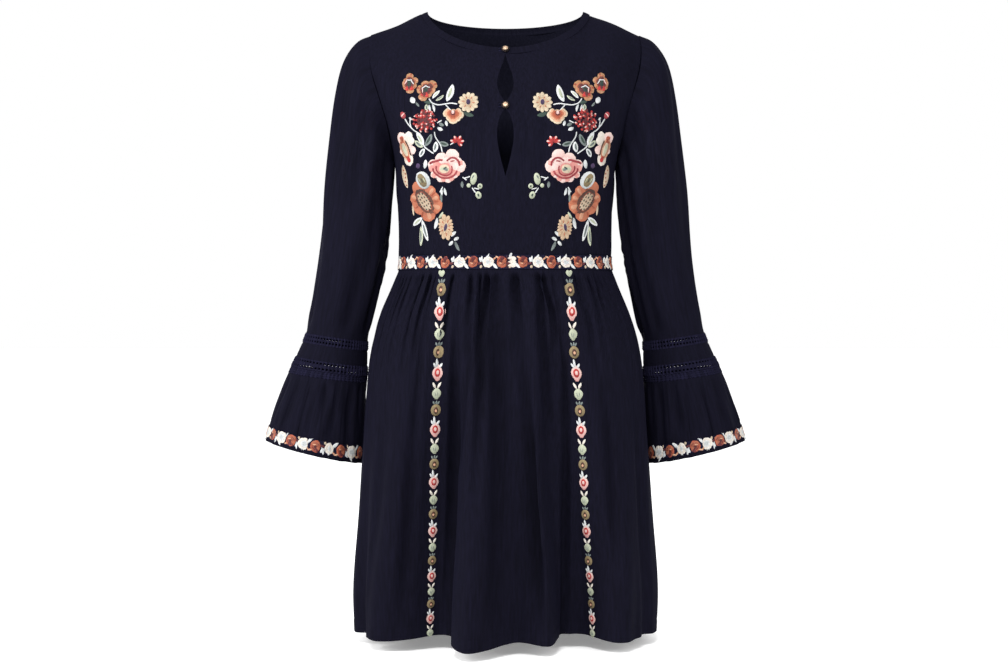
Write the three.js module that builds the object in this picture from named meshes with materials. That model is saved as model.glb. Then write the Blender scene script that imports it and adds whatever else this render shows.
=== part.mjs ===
// A peasant dress, filled out as if worn, with nobody in it: a bodice with a keyhole slit at the front, long
// sleeves that end in a lace insertion and a gathered ruffle, and a gathered skirt hung from a trimmed waist.
// Every cloth piece is a thin closed wall of its own, a hair apart from the pieces it is sewn to.
//
// Millimetres. +X is to the wearer's left, -Y to the front, +Z up. The origin is midway between the two points
// where the shoulder seams meet the neck, because the shoulders hold the dress up.

import * as THREE from "three";

// Cloth, tape and the gap left at every seam
const CLOTH = 1.2;
const TAPE = 1.0;
const SEAM = 0.3;
const HALF_SEAM = SEAM / 2;
const ON_CLOTH = SEAM + HALF_SEAM;

// Heights of the main seams
const HEM_Z = -845;
const WAIST_Z = -345;
const UNDERARM_Z = -203;

// Shoulder line: a straight slope from the neck point to the tip, where the sleeve is set in
const NECK_HALF_WIDTH = 106.5;
const SHOULDER_SLOPE = 0.41;
const SHOULDER_TIP_X = 184;
const SHOULDER_ROUNDING = 120;

// Neckline: how far it dips below the neck points at the front and the back, and how square its curve is
const NECK_FRONT = { drop: 60, power: 1.2 };
const NECK_BACK = { drop: 15, power: 1 };
const BINDING_WIDTH = 8;

// Keyhole slit down the centre front, closed by two buttons, so that it gapes in two lens shapes
const SLIT_BOTTOM_Z = -234;
const SLIT_LENSES = [
  { top: -67, bottom: -137, half: 10.8, skew: 1.45 },
  { top: -146, bottom: SLIT_BOTTOM_Z, half: 10.8, skew: 0.7 },
];
const CENTRE_STRIP_HALF = 7;
const BUTTONS = [
  { name: "top", z: -63.5 },
  { name: "lower", z: -141.5 },
];
const LOOP_RADIUS = 0.8;

// Sections are rounded boxes: 2 would be an ellipse, more is squarer
const SQUARENESS = 2.35;

// Half width and the depths to the front and back of the bodice at each height. Above the underarm the sides are
// cut away for the arms, and side is where the chest would reach without them.
const BODICE = [
  { z: -345, side: 144, front: 100, back: 88 },
  { z: -300, side: 145.5, front: 110, back: 94 },
  { z: -235, side: 149.5, front: 120, back: 103 },
  { z: -203, side: 152, front: 121, back: 106 },
  { z: -174, side: 160, front: 118, back: 107 },
  { z: -150, side: 169, front: 111, back: 104 },
  { z: -117, side: 188, front: 99, back: 98 },
  { z: -87, side: 205, front: 88, back: 89 },
  { z: -57, side: 220, front: 76, back: 78 },
  { z: -31, side: 230, front: 63, back: 66 },
  { z: 50, side: 230, front: 40, back: 44 },
];

// The armhole seam, seen from the front
const ARMHOLE = [
  { z: -203, x: 152 },
  { z: -174, x: 157 },
  { z: -150, x: 162 },
  { z: -117, x: 172 },
  { z: -87, x: 181 },
  { z: -57, x: 185 },
  { z: -31.775, x: 184 },
];

// Half width and depths of the skirt without its folds
const SKIRT = [
  { z: -845, side: 206, front: 117, back: 130 },
  { z: -800, side: 207.5, front: 119, back: 131 },
  { z: -765, side: 206.5, front: 120, back: 131 },
  { z: -700, side: 202, front: 121, back: 130 },
  { z: -615, side: 197, front: 122, back: 129 },
  { z: -488, side: 187.5, front: 122, back: 126 },
  { z: -450, side: 181, front: 120, back: 122 },
  { z: -416, side: 171, front: 116, back: 116 },
  { z: -380, side: 156, front: 108, back: 102 },
  { z: -357, side: 147, front: 102, back: 91 },
  { z: -345, side: 144, front: 100, back: 88 },
];

// Folds that run down the skirt. angle is 0 at the centre front and 90 at the wearer's left side, at the top of the
// fold and at the hem; depth is how far the cloth sinks at the hem (below 0 it stands out); before and after are the
// fold's widths in degrees on either side of its line.
const SKIRT_FOLDS = [
  { top: -372, topAngle: -17, hemAngle: -23, depth: 42, before: 22, after: 9 },
  { top: -380, topAngle: -8, hemAngle: -10, depth: -36, before: 9, after: 13 },
  { top: -400, topAngle: 1, hemAngle: 3, depth: 15, before: 7, after: 9 },
  { top: -400, topAngle: 9, hemAngle: 12, depth: -5, before: 6, after: 6 },
  { top: -450, topAngle: 13, hemAngle: 20.5, depth: 40, before: 8, after: 9 },
  { top: -480, topAngle: 22, hemAngle: 29, depth: 42, before: 9, after: 13 },
  { top: -420, topAngle: 42, hemAngle: 47, depth: -8, before: 10, after: 12 },
  { top: -430, topAngle: -44, hemAngle: -50, depth: -7, before: 10, after: 12 },
  { top: -450, topAngle: 63, hemAngle: 66, depth: 10, before: 9, after: 9 },
  { top: -440, topAngle: -66, hemAngle: -70, depth: 9, before: 9, after: 9 },
  { top: -400, topAngle: 124, hemAngle: 121, depth: 18, before: 10, after: 8 },
  { top: -380, topAngle: 152, hemAngle: 150, depth: 30, before: 8, after: 12 },
  { top: -420, topAngle: 165, hemAngle: 164, depth: -12, before: 7, after: 8 },
  { top: -430, topAngle: 177, hemAngle: 179, depth: 18, before: 9, after: 8 },
  { top: -375, topAngle: 203, hemAngle: 205, depth: 32, before: 11, after: 9 },
  { top: -420, topAngle: 220, hemAngle: 221, depth: -9, before: 8, after: 8 },
  { top: -420, topAngle: 235, hemAngle: 238, depth: 18, before: 9, after: 10 },
];
const FOLD_HEM_LIFT = 0.1;
const SKIRT_GATHERS = { perTurn: 72, depth: 1.6, from: -356, fullAt: -372, goneAt: -560 };

// The sleeve and cuff, from the armhole down. at is the distance along the arm; top is the outer outline and under
// the inner one, seen from the front; depth is half the section's depth and y its middle.
const SLEEVE = [
  { at: 0, topX: 184.4, topZ: -31.6, underX: 152, underZ: -203, depth: 49, y: 0 },
  { at: 10, topX: 201, topZ: -39.4, underX: 152.6, underZ: -206, depth: 50, y: 0 },
  { at: 23, topX: 214.5, topZ: -56, underX: 153, underZ: -211, depth: 51, y: 0 },
  { at: 38, topX: 224, topZ: -78, underX: 153.6, underZ: -218, depth: 52, y: 0 },
  { at: 63, topX: 231.5, topZ: -115, underX: 154.5, underZ: -230, depth: 53, y: 1 },
  { at: 106, topX: 239, topZ: -175, underX: 156, underZ: -255, depth: 53, y: 3 },
  { at: 161, topX: 248, topZ: -245, underX: 160, underZ: -295, depth: 51, y: 8 },
  { at: 230, topX: 255.5, topZ: -325, underX: 168, underZ: -352, depth: 48, y: 14 },
  { at: 286, topX: 264.5, topZ: -385, underX: 180, underZ: -402, depth: 46, y: 19 },
  { at: 328, topX: 273.5, topZ: -429, underX: 189.5, underZ: -441, depth: 45, y: 23 },
  { at: 340, topX: 276, topZ: -440, underX: 191.3, underZ: -452, depth: 45, y: 25 },
  { at: 353, topX: 281, topZ: -452.5, underX: 191.8, underZ: -465, depth: 46, y: 27 },
  { at: 374.5, topX: 290.5, topZ: -472.5, underX: 192.2, underZ: -487, depth: 49, y: 29 },
  { at: 388.5, topX: 297.4, topZ: -486, underX: 192.5, underZ: -500.5, depth: 52, y: 31 },
  { at: 397.7, topX: 301.6, topZ: -495, underX: 193, underZ: -509.5, depth: 54, y: 32 },
  { at: 450, topX: 321, topZ: -544, underX: 194.5, underZ: -567, depth: 64, y: 39 },
  { at: 500, topX: 335.5, topZ: -589, underX: 196.5, underZ: -622, depth: 70, y: 45 },
];
const CAP_FADE = 40;
const CUFF_SEAMS = { sleeveEnd: 340, upperLadderEnd: 353, bandEnd: 374.5, lowerLadderEnd: 388.5, headerEnd: 397.7 };
const RUFFLE_HEM = 500;
const RUFFLE_WAVES = { perTurn: 15, depth: 4.2, crowding: 0.9, calmNearSkirt: 0.75 };
const RUFFLE_TAPE = { from: 478, to: 495 };
const WAIST_TAPE = { bottom: -354.5, top: -335.5 };

// How finely each surface is divided, and the share of a wall over which its slopes are taken
const SLOPE_STEP = 1e-3;
const SKIRT_COLUMNS = 72;
const SKIRT_ROWS = [-356, -372, -400, -445, -510, -590, -680, -770];
const SLEEVE_COLUMNS = 24;
const SLEEVE_ROWS = [10, 22, 38, 63, 106, 161, 205, 245, 290];
const RUFFLE_COLUMNS = 48;
const RUFFLE_ROWS = [405, 420, 445, 475];
const WAIST_TAPE_COLUMNS = 84;

const NAVY = { color: 0x1b1a28, roughness: 0.85, metalness: 0 };
const LACE = { color: 0x1d1c2c, roughness: 0.9, metalness: 0 };
const TRIM = { color: 0xc9a58c, roughness: 0.75, metalness: 0 };
const BRASS = { color: 0x8f6f45, roughness: 0.4, metalness: 0.8 };

const radians = THREE.MathUtils.degToRad;
const mix = THREE.MathUtils.lerp;
const clamp = THREE.MathUtils.clamp;
const signedPower = (value, power) => Math.sign(value) * Math.abs(value) ** power;

// Cubic curve through one column of a table, against another column
function curveOf(table, key, column) {
  const rows = [...table].sort((a, b) => a[key] - b[key]);
  const slopes = rows.map((row, i) => {
    const before = rows[Math.max(i - 1, 0)];
    const after = rows[Math.min(i + 1, rows.length - 1)];
    return (after[column] - before[column]) / (after[key] - before[key]);
  });
  return (at) => {
    const place = clamp(at, rows[0][key], rows[rows.length - 1][key]);
    let i = 0;
    while (i < rows.length - 2 && place > rows[i + 1][key]) i += 1;
    const span = rows[i + 1][key] - rows[i][key];
    const t = (place - rows[i][key]) / span;
    return (
      (2 * t ** 3 - 3 * t ** 2 + 1) * rows[i][column] +
      (t ** 3 - 2 * t ** 2 + t) * span * slopes[i] +
      (3 * t ** 2 - 2 * t ** 3) * rows[i + 1][column] +
      (t ** 3 - t ** 2) * span * slopes[i + 1]
    );
  };
}

// Outward normal of a surface given by two parameters, from its own slopes
function normalOf(surface, u, v, du, dv) {
  const alongU = surface(u + du, v).sub(surface(u - du, v));
  const alongV = surface(u, v + dv).sub(surface(u, v - dv));
  return alongU.cross(alongV).normalize();
}

// A closed wall of cloth: the surface moved out by lift, as thick as asked. us and vs are the grid's lines, closed
// joins the last column to the first, turned swaps the wall's two sides and cut(i, j) leaves a cell out.
function clothWall({ surface, us, vs, thickness, lift = 0, closed = false, turned = false, cut = () => false }) {
  const columns = us.length;
  const rows = vs.length;
  const du = SLOPE_STEP * (us[columns - 1] - us[0]);
  const dv = SLOPE_STEP * (vs[rows - 1] - vs[0]);
  const positions = [];
  const layer = columns * rows;
  for (const depth of [lift, lift - thickness]) {
    for (const v of vs) {
      for (const u of us) {
        const normal = normalOf(surface, u, v, du, dv);
        positions.push(...surface(u, v).addScaledVector(normal, turned ? -depth : depth).toArray());
      }
    }
  }
  const cellColumns = closed ? columns : columns - 1;
  const at = (i, j, inner) => j * columns + (i % columns) + inner * layer;
  const kept = (i, j) => {
    const column = closed ? (i + cellColumns) % cellColumns : i;
    return column >= 0 && column < cellColumns && j >= 0 && j < rows - 1 && !cut(column, j);
  };
  const index = [];
  const quad = (a, b, c, d) => index.push(...(turned ? [a, c, b, a, d, c] : [a, b, c, a, c, d]));
  for (let j = 0; j < rows - 1; j += 1) {
    for (let i = 0; i < cellColumns; i += 1) {
      if (!kept(i, j)) continue;
      quad(at(i, j, 0), at(i + 1, j, 0), at(i + 1, j + 1, 0), at(i, j + 1, 0));
      quad(at(i, j, 1), at(i, j + 1, 1), at(i + 1, j + 1, 1), at(i + 1, j, 1));
      if (!kept(i, j - 1)) quad(at(i, j, 0), at(i, j, 1), at(i + 1, j, 1), at(i + 1, j, 0));
      if (!kept(i, j + 1)) quad(at(i, j + 1, 0), at(i + 1, j + 1, 0), at(i + 1, j + 1, 1), at(i, j + 1, 1));
      if (!kept(i - 1, j)) quad(at(i, j, 0), at(i, j + 1, 0), at(i, j + 1, 1), at(i, j, 1));
      if (!kept(i + 1, j)) quad(at(i + 1, j, 0), at(i + 1, j, 1), at(i + 1, j + 1, 1), at(i + 1, j + 1, 0));
    }
  }
  const geometry = new THREE.BufferGeometry();
  geometry.setAttribute("position", new THREE.Float32BufferAttribute(positions, 3));
  geometry.setIndex(index);
  geometry.computeVertexNormals();
  return geometry;
}

const dress = new THREE.Group();

function addPiece(name, geometry, look) {
  const mesh = new THREE.Mesh(geometry, new THREE.MeshStandardMaterial(look));
  mesh.name = name;
  dress.add(mesh);
  return mesh;
}

const evenly = (count, from, to) => Array.from({ length: count + 1 }, (_, i) => mix(from, to, i / count));
const roundTurn = (count) => Array.from({ length: count }, (_, i) => (360 * i) / count);

// Bodice

const sideAt = curveOf(BODICE, "z", "side");
const armholeAt = curveOf(ARMHOLE, "z", "x");
const FRONT = { sign: -1, depthAt: curveOf(BODICE, "z", "front"), neck: NECK_FRONT };
const BACK = { sign: 1, depthAt: curveOf(BODICE, "z", "back"), neck: NECK_BACK };

// Height of the shoulder seam, carried smoothly over the neck opening, where it shapes the cloth around it
function shoulderZ(x) {
  const rise = Math.abs(x) > NECK_HALF_WIDTH ? Math.abs(x) : (NECK_HALF_WIDTH ** 2 + x ** 2) / (2 * NECK_HALF_WIDTH);
  return (NECK_HALF_WIDTH - rise) * SHOULDER_SLOPE;
}

const SHOULDER_TIP_Z = shoulderZ(SHOULDER_TIP_X);

// The neckline seen from the front, at a distance outside the edge of the neck opening
function neckZ(x, outside, neck) {
  const reach = NECK_HALF_WIDTH + outside;
  const bottom = -neck.drop - outside;
  return mix(shoulderZ(reach), bottom, (1 - Math.min(x / reach, 1) ** 2) ** (neck.power / 2));
}

// Top edge of a panel: the seam of the neck binding in the middle, the shoulder seam beside it
function topEdgeZ(x, neck) {
  return x < NECK_HALF_WIDTH + BINDING_WIDTH ? neckZ(x, BINDING_WIDTH, neck) : shoulderZ(x);
}

// How far the chest or back stands from the shoulder plane at a place seen from the front
function chestDepth(x, z, face) {
  const below = clamp((shoulderZ(x) - z) / SHOULDER_ROUNDING, 0, 1);
  const across = clamp(Math.abs(x) / sideAt(z), 0, 1);
  return (
    face.depthAt(z) * (1 - across ** SQUARENESS) ** (1 / SQUARENESS) * Math.sqrt(1 - (1 - below) ** 2)
  );
}

const onBodice = (x, z, face, gap = 0) => new THREE.Vector3(x, face.sign * (gap + chestDepth(x, z, face)), z);

// Half the width of the slit at a height. Under the slit it is half the strip of whole cloth there.
function slitHalf(z) {
  if (z < SLIT_BOTTOM_Z) return Math.min(HALF_SEAM + (SLIT_BOTTOM_Z - z) * 0.2, CENTRE_STRIP_HALF);
  const lens = SLIT_LENSES.find(({ top, bottom }) => z <= top && z >= bottom);
  if (!lens) return HALF_SEAM;
  const down = (lens.top - z) / (lens.top - lens.bottom);
  return HALF_SEAM + lens.half * Math.sin(Math.PI * down ** lens.skew);
}

// A bodice panel. u runs from one side to the other; v from 0 at the waist to 1 at the underarm and 2 at the top.
function bodiceSurface(face, slit) {
  return (u, v) => {
    const upper = clamp(v - 1, 0, 1);
    const edgeZ = v < 1 ? mix(WAIST_Z + HALF_SEAM, UNDERARM_Z, v) : mix(UNDERARM_Z, SHOULDER_TIP_Z, upper);
    const edgeX = v < 1 ? sideAt(edgeZ) : armholeAt(edgeZ);
    const reach = sideAt(edgeZ);
    const turn = Math.asin(clamp(edgeX / reach, -1, 1)) * Math.abs(u);
    const centreZ = v < 1 ? edgeZ : mix(UNDERARM_Z, -face.neck.drop - BINDING_WIDTH, upper);
    const inner = slit ? slitHalf(centreZ) : 0;
    const x = inner + (reach * Math.sin(turn) * (edgeX - inner)) / edgeX;
    const z = v < 1 ? edgeZ : mix(UNDERARM_Z, topEdgeZ(x, face.neck), upper);
    return onBodice(u < 0 ? -x : x, z, face, HALF_SEAM);
  };
}

// The column that reaches the neck point, where the binding's seam meets the shoulder seam
const columnAtX = (x) => Math.asin(x / sideAt(SHOULDER_TIP_Z)) / Math.asin(SHOULDER_TIP_X / sideAt(SHOULDER_TIP_Z));
const NECK_COLUMN = columnAtX(NECK_HALF_WIDTH + BINDING_WIDTH);
const NECK_COLUMNS = [0.22, 0.42, 0.6, 0.76, 0.88, 0.96, 1].map((share) => share * NECK_COLUMN);
const SHOULDER_COLUMNS = [0.2, 0.42, 0.64, 0.84, 1].map((share) => mix(NECK_COLUMN, 1, share));
const HALF_COLUMNS = [...NECK_COLUMNS, ...SHOULDER_COLUMNS];
const SLIT_ROW = (SLIT_BOTTOM_Z - WAIST_Z) / (UNDERARM_Z - WAIST_Z);
const FRONT_LOWER_ROWS = [0, 0.25, 0.52, SLIT_ROW, 0.89];
const FRONT_UPPER_ROWS = [1, 1.12, 1.24, 1.36, 1.46, 1.52, 1.62, 1.74, 1.85, 1.93, 1.98, 2];
const BACK_ROWS = [0, 0.25, 0.5, 0.75, 1, 1.18, 1.36, 1.54, 1.7, 1.83, 1.92, 1.98, 2];

function bodiceFront() {
  const slitEdge = 1e-6;
  const centreCell = HALF_COLUMNS.length;
  const slitRow = FRONT_LOWER_ROWS.indexOf(SLIT_ROW);
  return clothWall({
    surface: bodiceSurface(FRONT, true),
    us: [...HALF_COLUMNS.map((u) => -u).reverse(), -slitEdge, slitEdge, ...HALF_COLUMNS],
    vs: [...FRONT_LOWER_ROWS, ...FRONT_UPPER_ROWS],
    thickness: CLOTH,
    cut: (i, j) => i === centreCell && j >= slitRow,
  });
}

function bodiceBack() {
  return clothWall({
    surface: bodiceSurface(BACK, false),
    us: [...HALF_COLUMNS.map((u) => -u).reverse(), 0, ...HALF_COLUMNS],
    vs: BACK_ROWS,
    thickness: CLOTH,
    turned: true,
  });
}

// Bias strip round the neck, from one edge of the slit to the other. Its columns are the panels' own, so that the
// seam between them keeps its gap. The angle is 0 at the centre front; outside is the distance from the neck edge.
function neckBinding() {
  const surface = (angle, outside) => {
    const turn = radians(angle);
    const face = Math.cos(turn) > 0 ? FRONT : BACK;
    const x = (NECK_HALF_WIDTH + outside) * Math.sin(turn);
    return onBodice(x, neckZ(Math.abs(x), outside, face.neck), face);
  };
  const edge = NECK_HALF_WIDTH + BINDING_WIDTH;
  const angleOf = (x) => THREE.MathUtils.radToDeg(Math.asin(Math.min(x / edge, 1)));
  const frontAngles = [0, ...NECK_COLUMNS].map((u) => angleOf(bodiceSurface(FRONT, true)(u, 2).x));
  const backAngles = [0, ...NECK_COLUMNS].map((u) => angleOf(bodiceSurface(BACK, false)(u, 2).x));
  const half = [...frontAngles, ...backAngles.slice(0, -1).map((angle) => 180 - angle).reverse()];
  return clothWall({
    surface,
    us: [...half, ...half.slice(0, -1).map((angle) => 360 - angle).reverse()],
    vs: [BINDING_WIDTH - SEAM, BINDING_WIDTH / 2, 0],
    thickness: CLOTH,
  });
}

// Buttons and their loops, set square to the chest over the slit

function chestFrame(z) {
  const up = onBodice(0, z + 1, FRONT).sub(onBodice(0, z - 1, FRONT)).normalize();
  const out = new THREE.Vector3(1, 0, 0).cross(up);
  return { up, out, foot: onBodice(0, z, FRONT, HALF_SEAM) };
}

function button({ z }) {
  const profile = [
    [0, 0],
    [1.5, 0],
    [1.5, 2.3],
    [4.9, 2.5],
    [5.3, 3.3],
    [4.6, 4.6],
    [2.9, 5.5],
    [0, 5.9],
  ];
  const { out, foot } = chestFrame(z);
  const geometry = new THREE.LatheGeometry(
    profile.map(([radius, height]) => new THREE.Vector2(radius, height)),
    14,
  );
  geometry.applyQuaternion(new THREE.Quaternion().setFromUnitVectors(new THREE.Vector3(0, 1, 0), out));
  const seat = foot.addScaledVector(out, SEAM);
  return geometry.translate(seat.x, seat.y, seat.z);
}

function buttonLoop({ z }) {
  const bend = 3.1;
  const reach = -9;
  const { up, out } = chestFrame(z);
  const height = SEAM + LOOP_RADIUS;
  const onChest = (x, rise) =>
    onBodice(x, z + rise * up.z, FRONT, HALF_SEAM).addScaledVector(out, height);
  const points = [onChest(reach, bend * 0.55), onChest(reach / 2, bend * 0.85)];
  for (const angle of [90, 45, 0, -45, -90]) {
    points.push(onChest(bend * Math.cos(radians(angle)), bend * Math.sin(radians(angle))));
  }
  points.push(onChest(reach / 2, -bend * 0.85), onChest(reach, -bend * 0.55));
  const section = new THREE.Shape().absarc(0, 0, LOOP_RADIUS, 0, 2 * Math.PI);
  return new THREE.ExtrudeGeometry(section, {
    steps: 16,
    curveSegments: 4,
    bevelEnabled: false,
    extrudePath: new THREE.CatmullRomCurve3(points),
  });
}

// Skirt

const skirtAt = Object.fromEntries(["side", "front", "back"].map((name) => [name, curveOf(SKIRT, "z", name)]));

// One side of a fold: 1 at its line, easing to 0 at its width
const bell = (away, width) => (Math.abs(away) < width ? 0.5 + 0.5 * Math.cos((Math.PI * away) / width) : 0);

const turnBetween = (angle, from) => ((((angle - from + 180) % 360) + 360) % 360) - 180;

function foldDepth(angle, z) {
  let out = 0;
  for (const fold of SKIRT_FOLDS) {
    const down = clamp((fold.top - z) / (fold.top - HEM_Z), 0, 1);
    const away = turnBetween(angle, mix(fold.topAngle, fold.hemAngle, down));
    out -= fold.depth * Math.sin((down * Math.PI) / 2) * bell(away, away < 0 ? fold.before : fold.after);
  }
  return out;
}

function gatherDepth(angle, z) {
  const { perTurn, depth, from, fullAt, goneAt } = SKIRT_GATHERS;
  const started = clamp((from - z) / (from - fullAt), 0, 1);
  const left = clamp((z - goneAt) / (fullAt - goneAt), 0, 1) ** 1.6;
  const turn = radians(angle);
  const uneven = 0.7 + 0.3 * Math.sin(5 * turn + 0.4) + 0.2 * Math.sin(11 * turn + 1.1);
  return depth * started * left * uneven * Math.cos(perTurn * turn);
}

// Point of the waist or skirt at an angle from the centre front
function skirtPoint(angle, z, folded) {
  const turn = radians(angle);
  const side = skirtAt.side(z);
  const depth = Math.cos(turn) > 0 ? skirtAt.front(z) : skirtAt.back(z);
  const across = signedPower(Math.sin(turn), 2 / SQUARENESS);
  const along = -signedPower(Math.cos(turn), 2 / SQUARENESS);
  const out = new THREE.Vector3(
    signedPower(across, SQUARENESS - 1) / side,
    signedPower(along, SQUARENESS - 1) / depth,
    0,
  ).normalize();
  const stand = folded ? foldDepth(angle, z) + gatherDepth(angle, z) : 0;
  const nearHem = clamp((WAIST_Z - z) / (WAIST_Z - HEM_Z), 0, 1) ** 2;
  return new THREE.Vector3(side * across, depth * along, z - FOLD_HEM_LIFT * nearHem * stand).addScaledVector(
    out,
    stand,
  );
}

function skirtPanel(middle) {
  const toPanel = middle === 0 ? -HALF_SEAM : HALF_SEAM;
  return clothWall({
    surface: (angle, z) => skirtPoint(angle, z, true).add(new THREE.Vector3(0, toPanel, 0)),
    us: evenly(SKIRT_COLUMNS, middle - 90, middle + 90),
    vs: [HEM_Z, ...[...SKIRT_ROWS].reverse(), WAIST_Z - HALF_SEAM],
    thickness: CLOTH,
  });
}

function waistTape() {
  const torso = (angle, z) => {
    if (z < WAIST_Z) return skirtPoint(angle, z, false);
    const turn = radians(angle);
    const depth = (Math.cos(turn) > 0 ? FRONT : BACK).depthAt(z);
    return new THREE.Vector3(
      sideAt(z) * signedPower(Math.sin(turn), 2 / SQUARENESS),
      -depth * signedPower(Math.cos(turn), 2 / SQUARENESS),
      z,
    );
  };
  return clothWall({
    surface: torso,
    us: roundTurn(WAIST_TAPE_COLUMNS),
    vs: [WAIST_TAPE.bottom, WAIST_Z, WAIST_TAPE.top],
    thickness: TAPE,
    lift: ON_CLOTH + TAPE,
    closed: true,
  });
}

// Sleeve, lace insertion and ruffle, made on the wearer's left and mirrored for the right

const sleeveAt = Object.fromEntries(
  ["topX", "topZ", "underX", "underZ", "depth", "y"].map((name) => [name, curveOf(SLEEVE, "at", name)]),
);

// The section without the cap's shaping: angle is 0 at the outer outline and 90 at the front
function armSection(angle, at) {
  const turn = radians(angle);
  const outward = 0.5 + 0.5 * Math.cos(turn);
  return new THREE.Vector3(
    mix(sleeveAt.underX(at), sleeveAt.topX(at), outward),
    sleeveAt.y(at) - sleeveAt.depth(at) * Math.sin(turn),
    mix(sleeveAt.underZ(at), sleeveAt.topZ(at), outward),
  );
}

// The armhole seam at the same angle, a seam's gap outside the bodice
function armholePoint(angle) {
  const turn = radians(angle);
  const z = mix(UNDERARM_Z, shoulderZ(SHOULDER_TIP_X), 0.5 + 0.5 * Math.cos(turn));
  return onBodice(armholeAt(z), z, Math.sin(turn) > 0 ? FRONT : BACK).add(new THREE.Vector3(SEAM, 0, 0));
}

function sleevePoint(angle, at) {
  const fade = 1 - THREE.MathUtils.smoothstep(at, 0, CAP_FADE);
  const cap = armholePoint(angle).sub(armSection(angle, 0)).multiplyScalar(fade);
  return armSection(angle, at).add(cap);
}

function rufflePoint(angle, at) {
  const { perTurn, depth, crowding, calmNearSkirt } = RUFFLE_WAVES;
  const turn = radians(angle);
  const down = clamp((at - CUFF_SEAMS.headerEnd) / (RUFFLE_HEM - CUFF_SEAMS.headerEnd), 0, 1);
  const calm = 1 - calmNearSkirt * bell(turnBetween(angle, 180), 75);
  const wave = Math.cos(perTurn * turn + crowding * Math.sin(2 * turn + 0.6));
  const centre = armSection(0, at).lerp(armSection(180, at), 0.5);
  const spoke = armSection(angle, at).sub(centre);
  return spoke.setLength(spoke.length() + depth * Math.sin((down * Math.PI) / 2) * calm * wave).add(centre);
}

function sleevePieces(side, mirror) {
  const placed = (surface) => (angle, at) => {
    const point = surface(angle, at);
    point.x *= mirror;
    return point;
  };
  const tube = (surface, columns, ats, thickness, lift) =>
    clothWall({
      surface: placed(surface),
      us: roundTurn(columns),
      vs: ats,
      thickness,
      lift,
      closed: true,
      turned: mirror < 0,
    });
  const between = (from, to) => [from + HALF_SEAM, to - HALF_SEAM];
  const { sleeveEnd, upperLadderEnd, bandEnd, lowerLadderEnd, headerEnd } = CUFF_SEAMS;
  const ring = (from, to) => tube(sleevePoint, SLEEVE_COLUMNS, between(from, to), CLOTH);
  addPiece(
    `sleeve_${side}`,
    tube(sleevePoint, SLEEVE_COLUMNS, [0, ...SLEEVE_ROWS, sleeveEnd - HALF_SEAM], CLOTH),
    NAVY,
  );
  addPiece(`cuff_ladder_upper_${side}`, ring(sleeveEnd, upperLadderEnd), LACE);
  addPiece(`cuff_band_${side}`, ring(upperLadderEnd, bandEnd), NAVY);
  addPiece(`cuff_ladder_lower_${side}`, ring(bandEnd, lowerLadderEnd), LACE);
  addPiece(`cuff_header_${side}`, ring(lowerLadderEnd, headerEnd), LACE);
  addPiece(
    `ruffle_${side}`,
    tube(rufflePoint, RUFFLE_COLUMNS, [headerEnd + HALF_SEAM, ...RUFFLE_ROWS, RUFFLE_HEM], CLOTH),
    NAVY,
  );
  addPiece(
    `ruffle_tape_${side}`,
    tube(rufflePoint, RUFFLE_COLUMNS, [RUFFLE_TAPE.from, RUFFLE_TAPE.to], TAPE, SEAM + TAPE),
    TRIM,
  );
}

addPiece("bodice_front", bodiceFront(), NAVY);
addPiece("bodice_back", bodiceBack(), NAVY);
addPiece("neck_binding", neckBinding(), NAVY);
for (const place of BUTTONS) {
  addPiece(`button_${place.name}`, button(place), BRASS);
  addPiece(`button_loop_${place.name}`, buttonLoop(place), NAVY);
}
addPiece("waist_tape", waistTape(), TRIM);
addPiece("skirt_front", skirtPanel(0), NAVY);
addPiece("skirt_back", skirtPanel(180), NAVY);
sleevePieces("left", 1);
sleevePieces("right", -1);

export default dress;
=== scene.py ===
# %% [markdown]
# # A peasant dress, sewn up from its frame
#
# The frame is the dress as plain closed walls in the right sizes. This script makes each of them again as
# cloth: finer, with soft creases, gathers, lace and thread. Flat panels could be hung on a figure and
# dropped by Blender's cloth simulation. Here every fold is worked out by a formula instead, so the dress
# comes out the same each time and stays on the frame's own curves. Lengths are in millimetres and become
# metres when a mesh is made.

# %% Load the frame
import math
import bpy
import numpy as np
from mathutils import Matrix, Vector
from mathutils.bvhtree import BVHTree


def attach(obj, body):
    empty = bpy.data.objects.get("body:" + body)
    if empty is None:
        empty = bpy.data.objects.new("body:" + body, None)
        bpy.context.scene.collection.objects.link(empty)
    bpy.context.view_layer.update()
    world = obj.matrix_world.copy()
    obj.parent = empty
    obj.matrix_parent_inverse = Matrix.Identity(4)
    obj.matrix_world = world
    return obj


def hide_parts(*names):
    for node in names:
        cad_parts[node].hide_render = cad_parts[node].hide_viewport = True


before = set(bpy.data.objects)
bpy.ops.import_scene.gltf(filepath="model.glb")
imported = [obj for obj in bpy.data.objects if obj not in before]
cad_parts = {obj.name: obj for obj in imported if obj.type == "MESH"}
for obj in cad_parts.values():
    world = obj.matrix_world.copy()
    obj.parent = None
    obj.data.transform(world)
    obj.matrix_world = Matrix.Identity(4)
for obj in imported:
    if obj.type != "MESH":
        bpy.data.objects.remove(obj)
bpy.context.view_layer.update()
MM = 0.001
print("frame pieces:", len(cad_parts))

# %% [markdown]
# ## Camera
#
# A product photo of a dress is taken from a couple of metres away with a longish lens, so that the hem and
# the shoulders are seen almost straight on. The camera could be tilted down to fit the dress in, but then
# its sides would lean. Here the camera looks level, a little above the middle, and the frame is shifted
# down instead, as a shift lens does.

# %% Camera
camera_data = bpy.data.cameras.new("photo_camera")
camera_data.lens = 57.2
camera_data.sensor_width = 36.0
camera_data.shift_y = -0.032
camera = bpy.data.objects.new("photo_camera", camera_data)
camera.location = (-0.0018, -2.2, -0.4)
camera.rotation_euler = (math.radians(90), 0, 0)
bpy.context.scene.collection.objects.link(camera)
bpy.context.scene.camera = camera
bpy.context.scene.view_settings.view_transform = "Standard"

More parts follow.
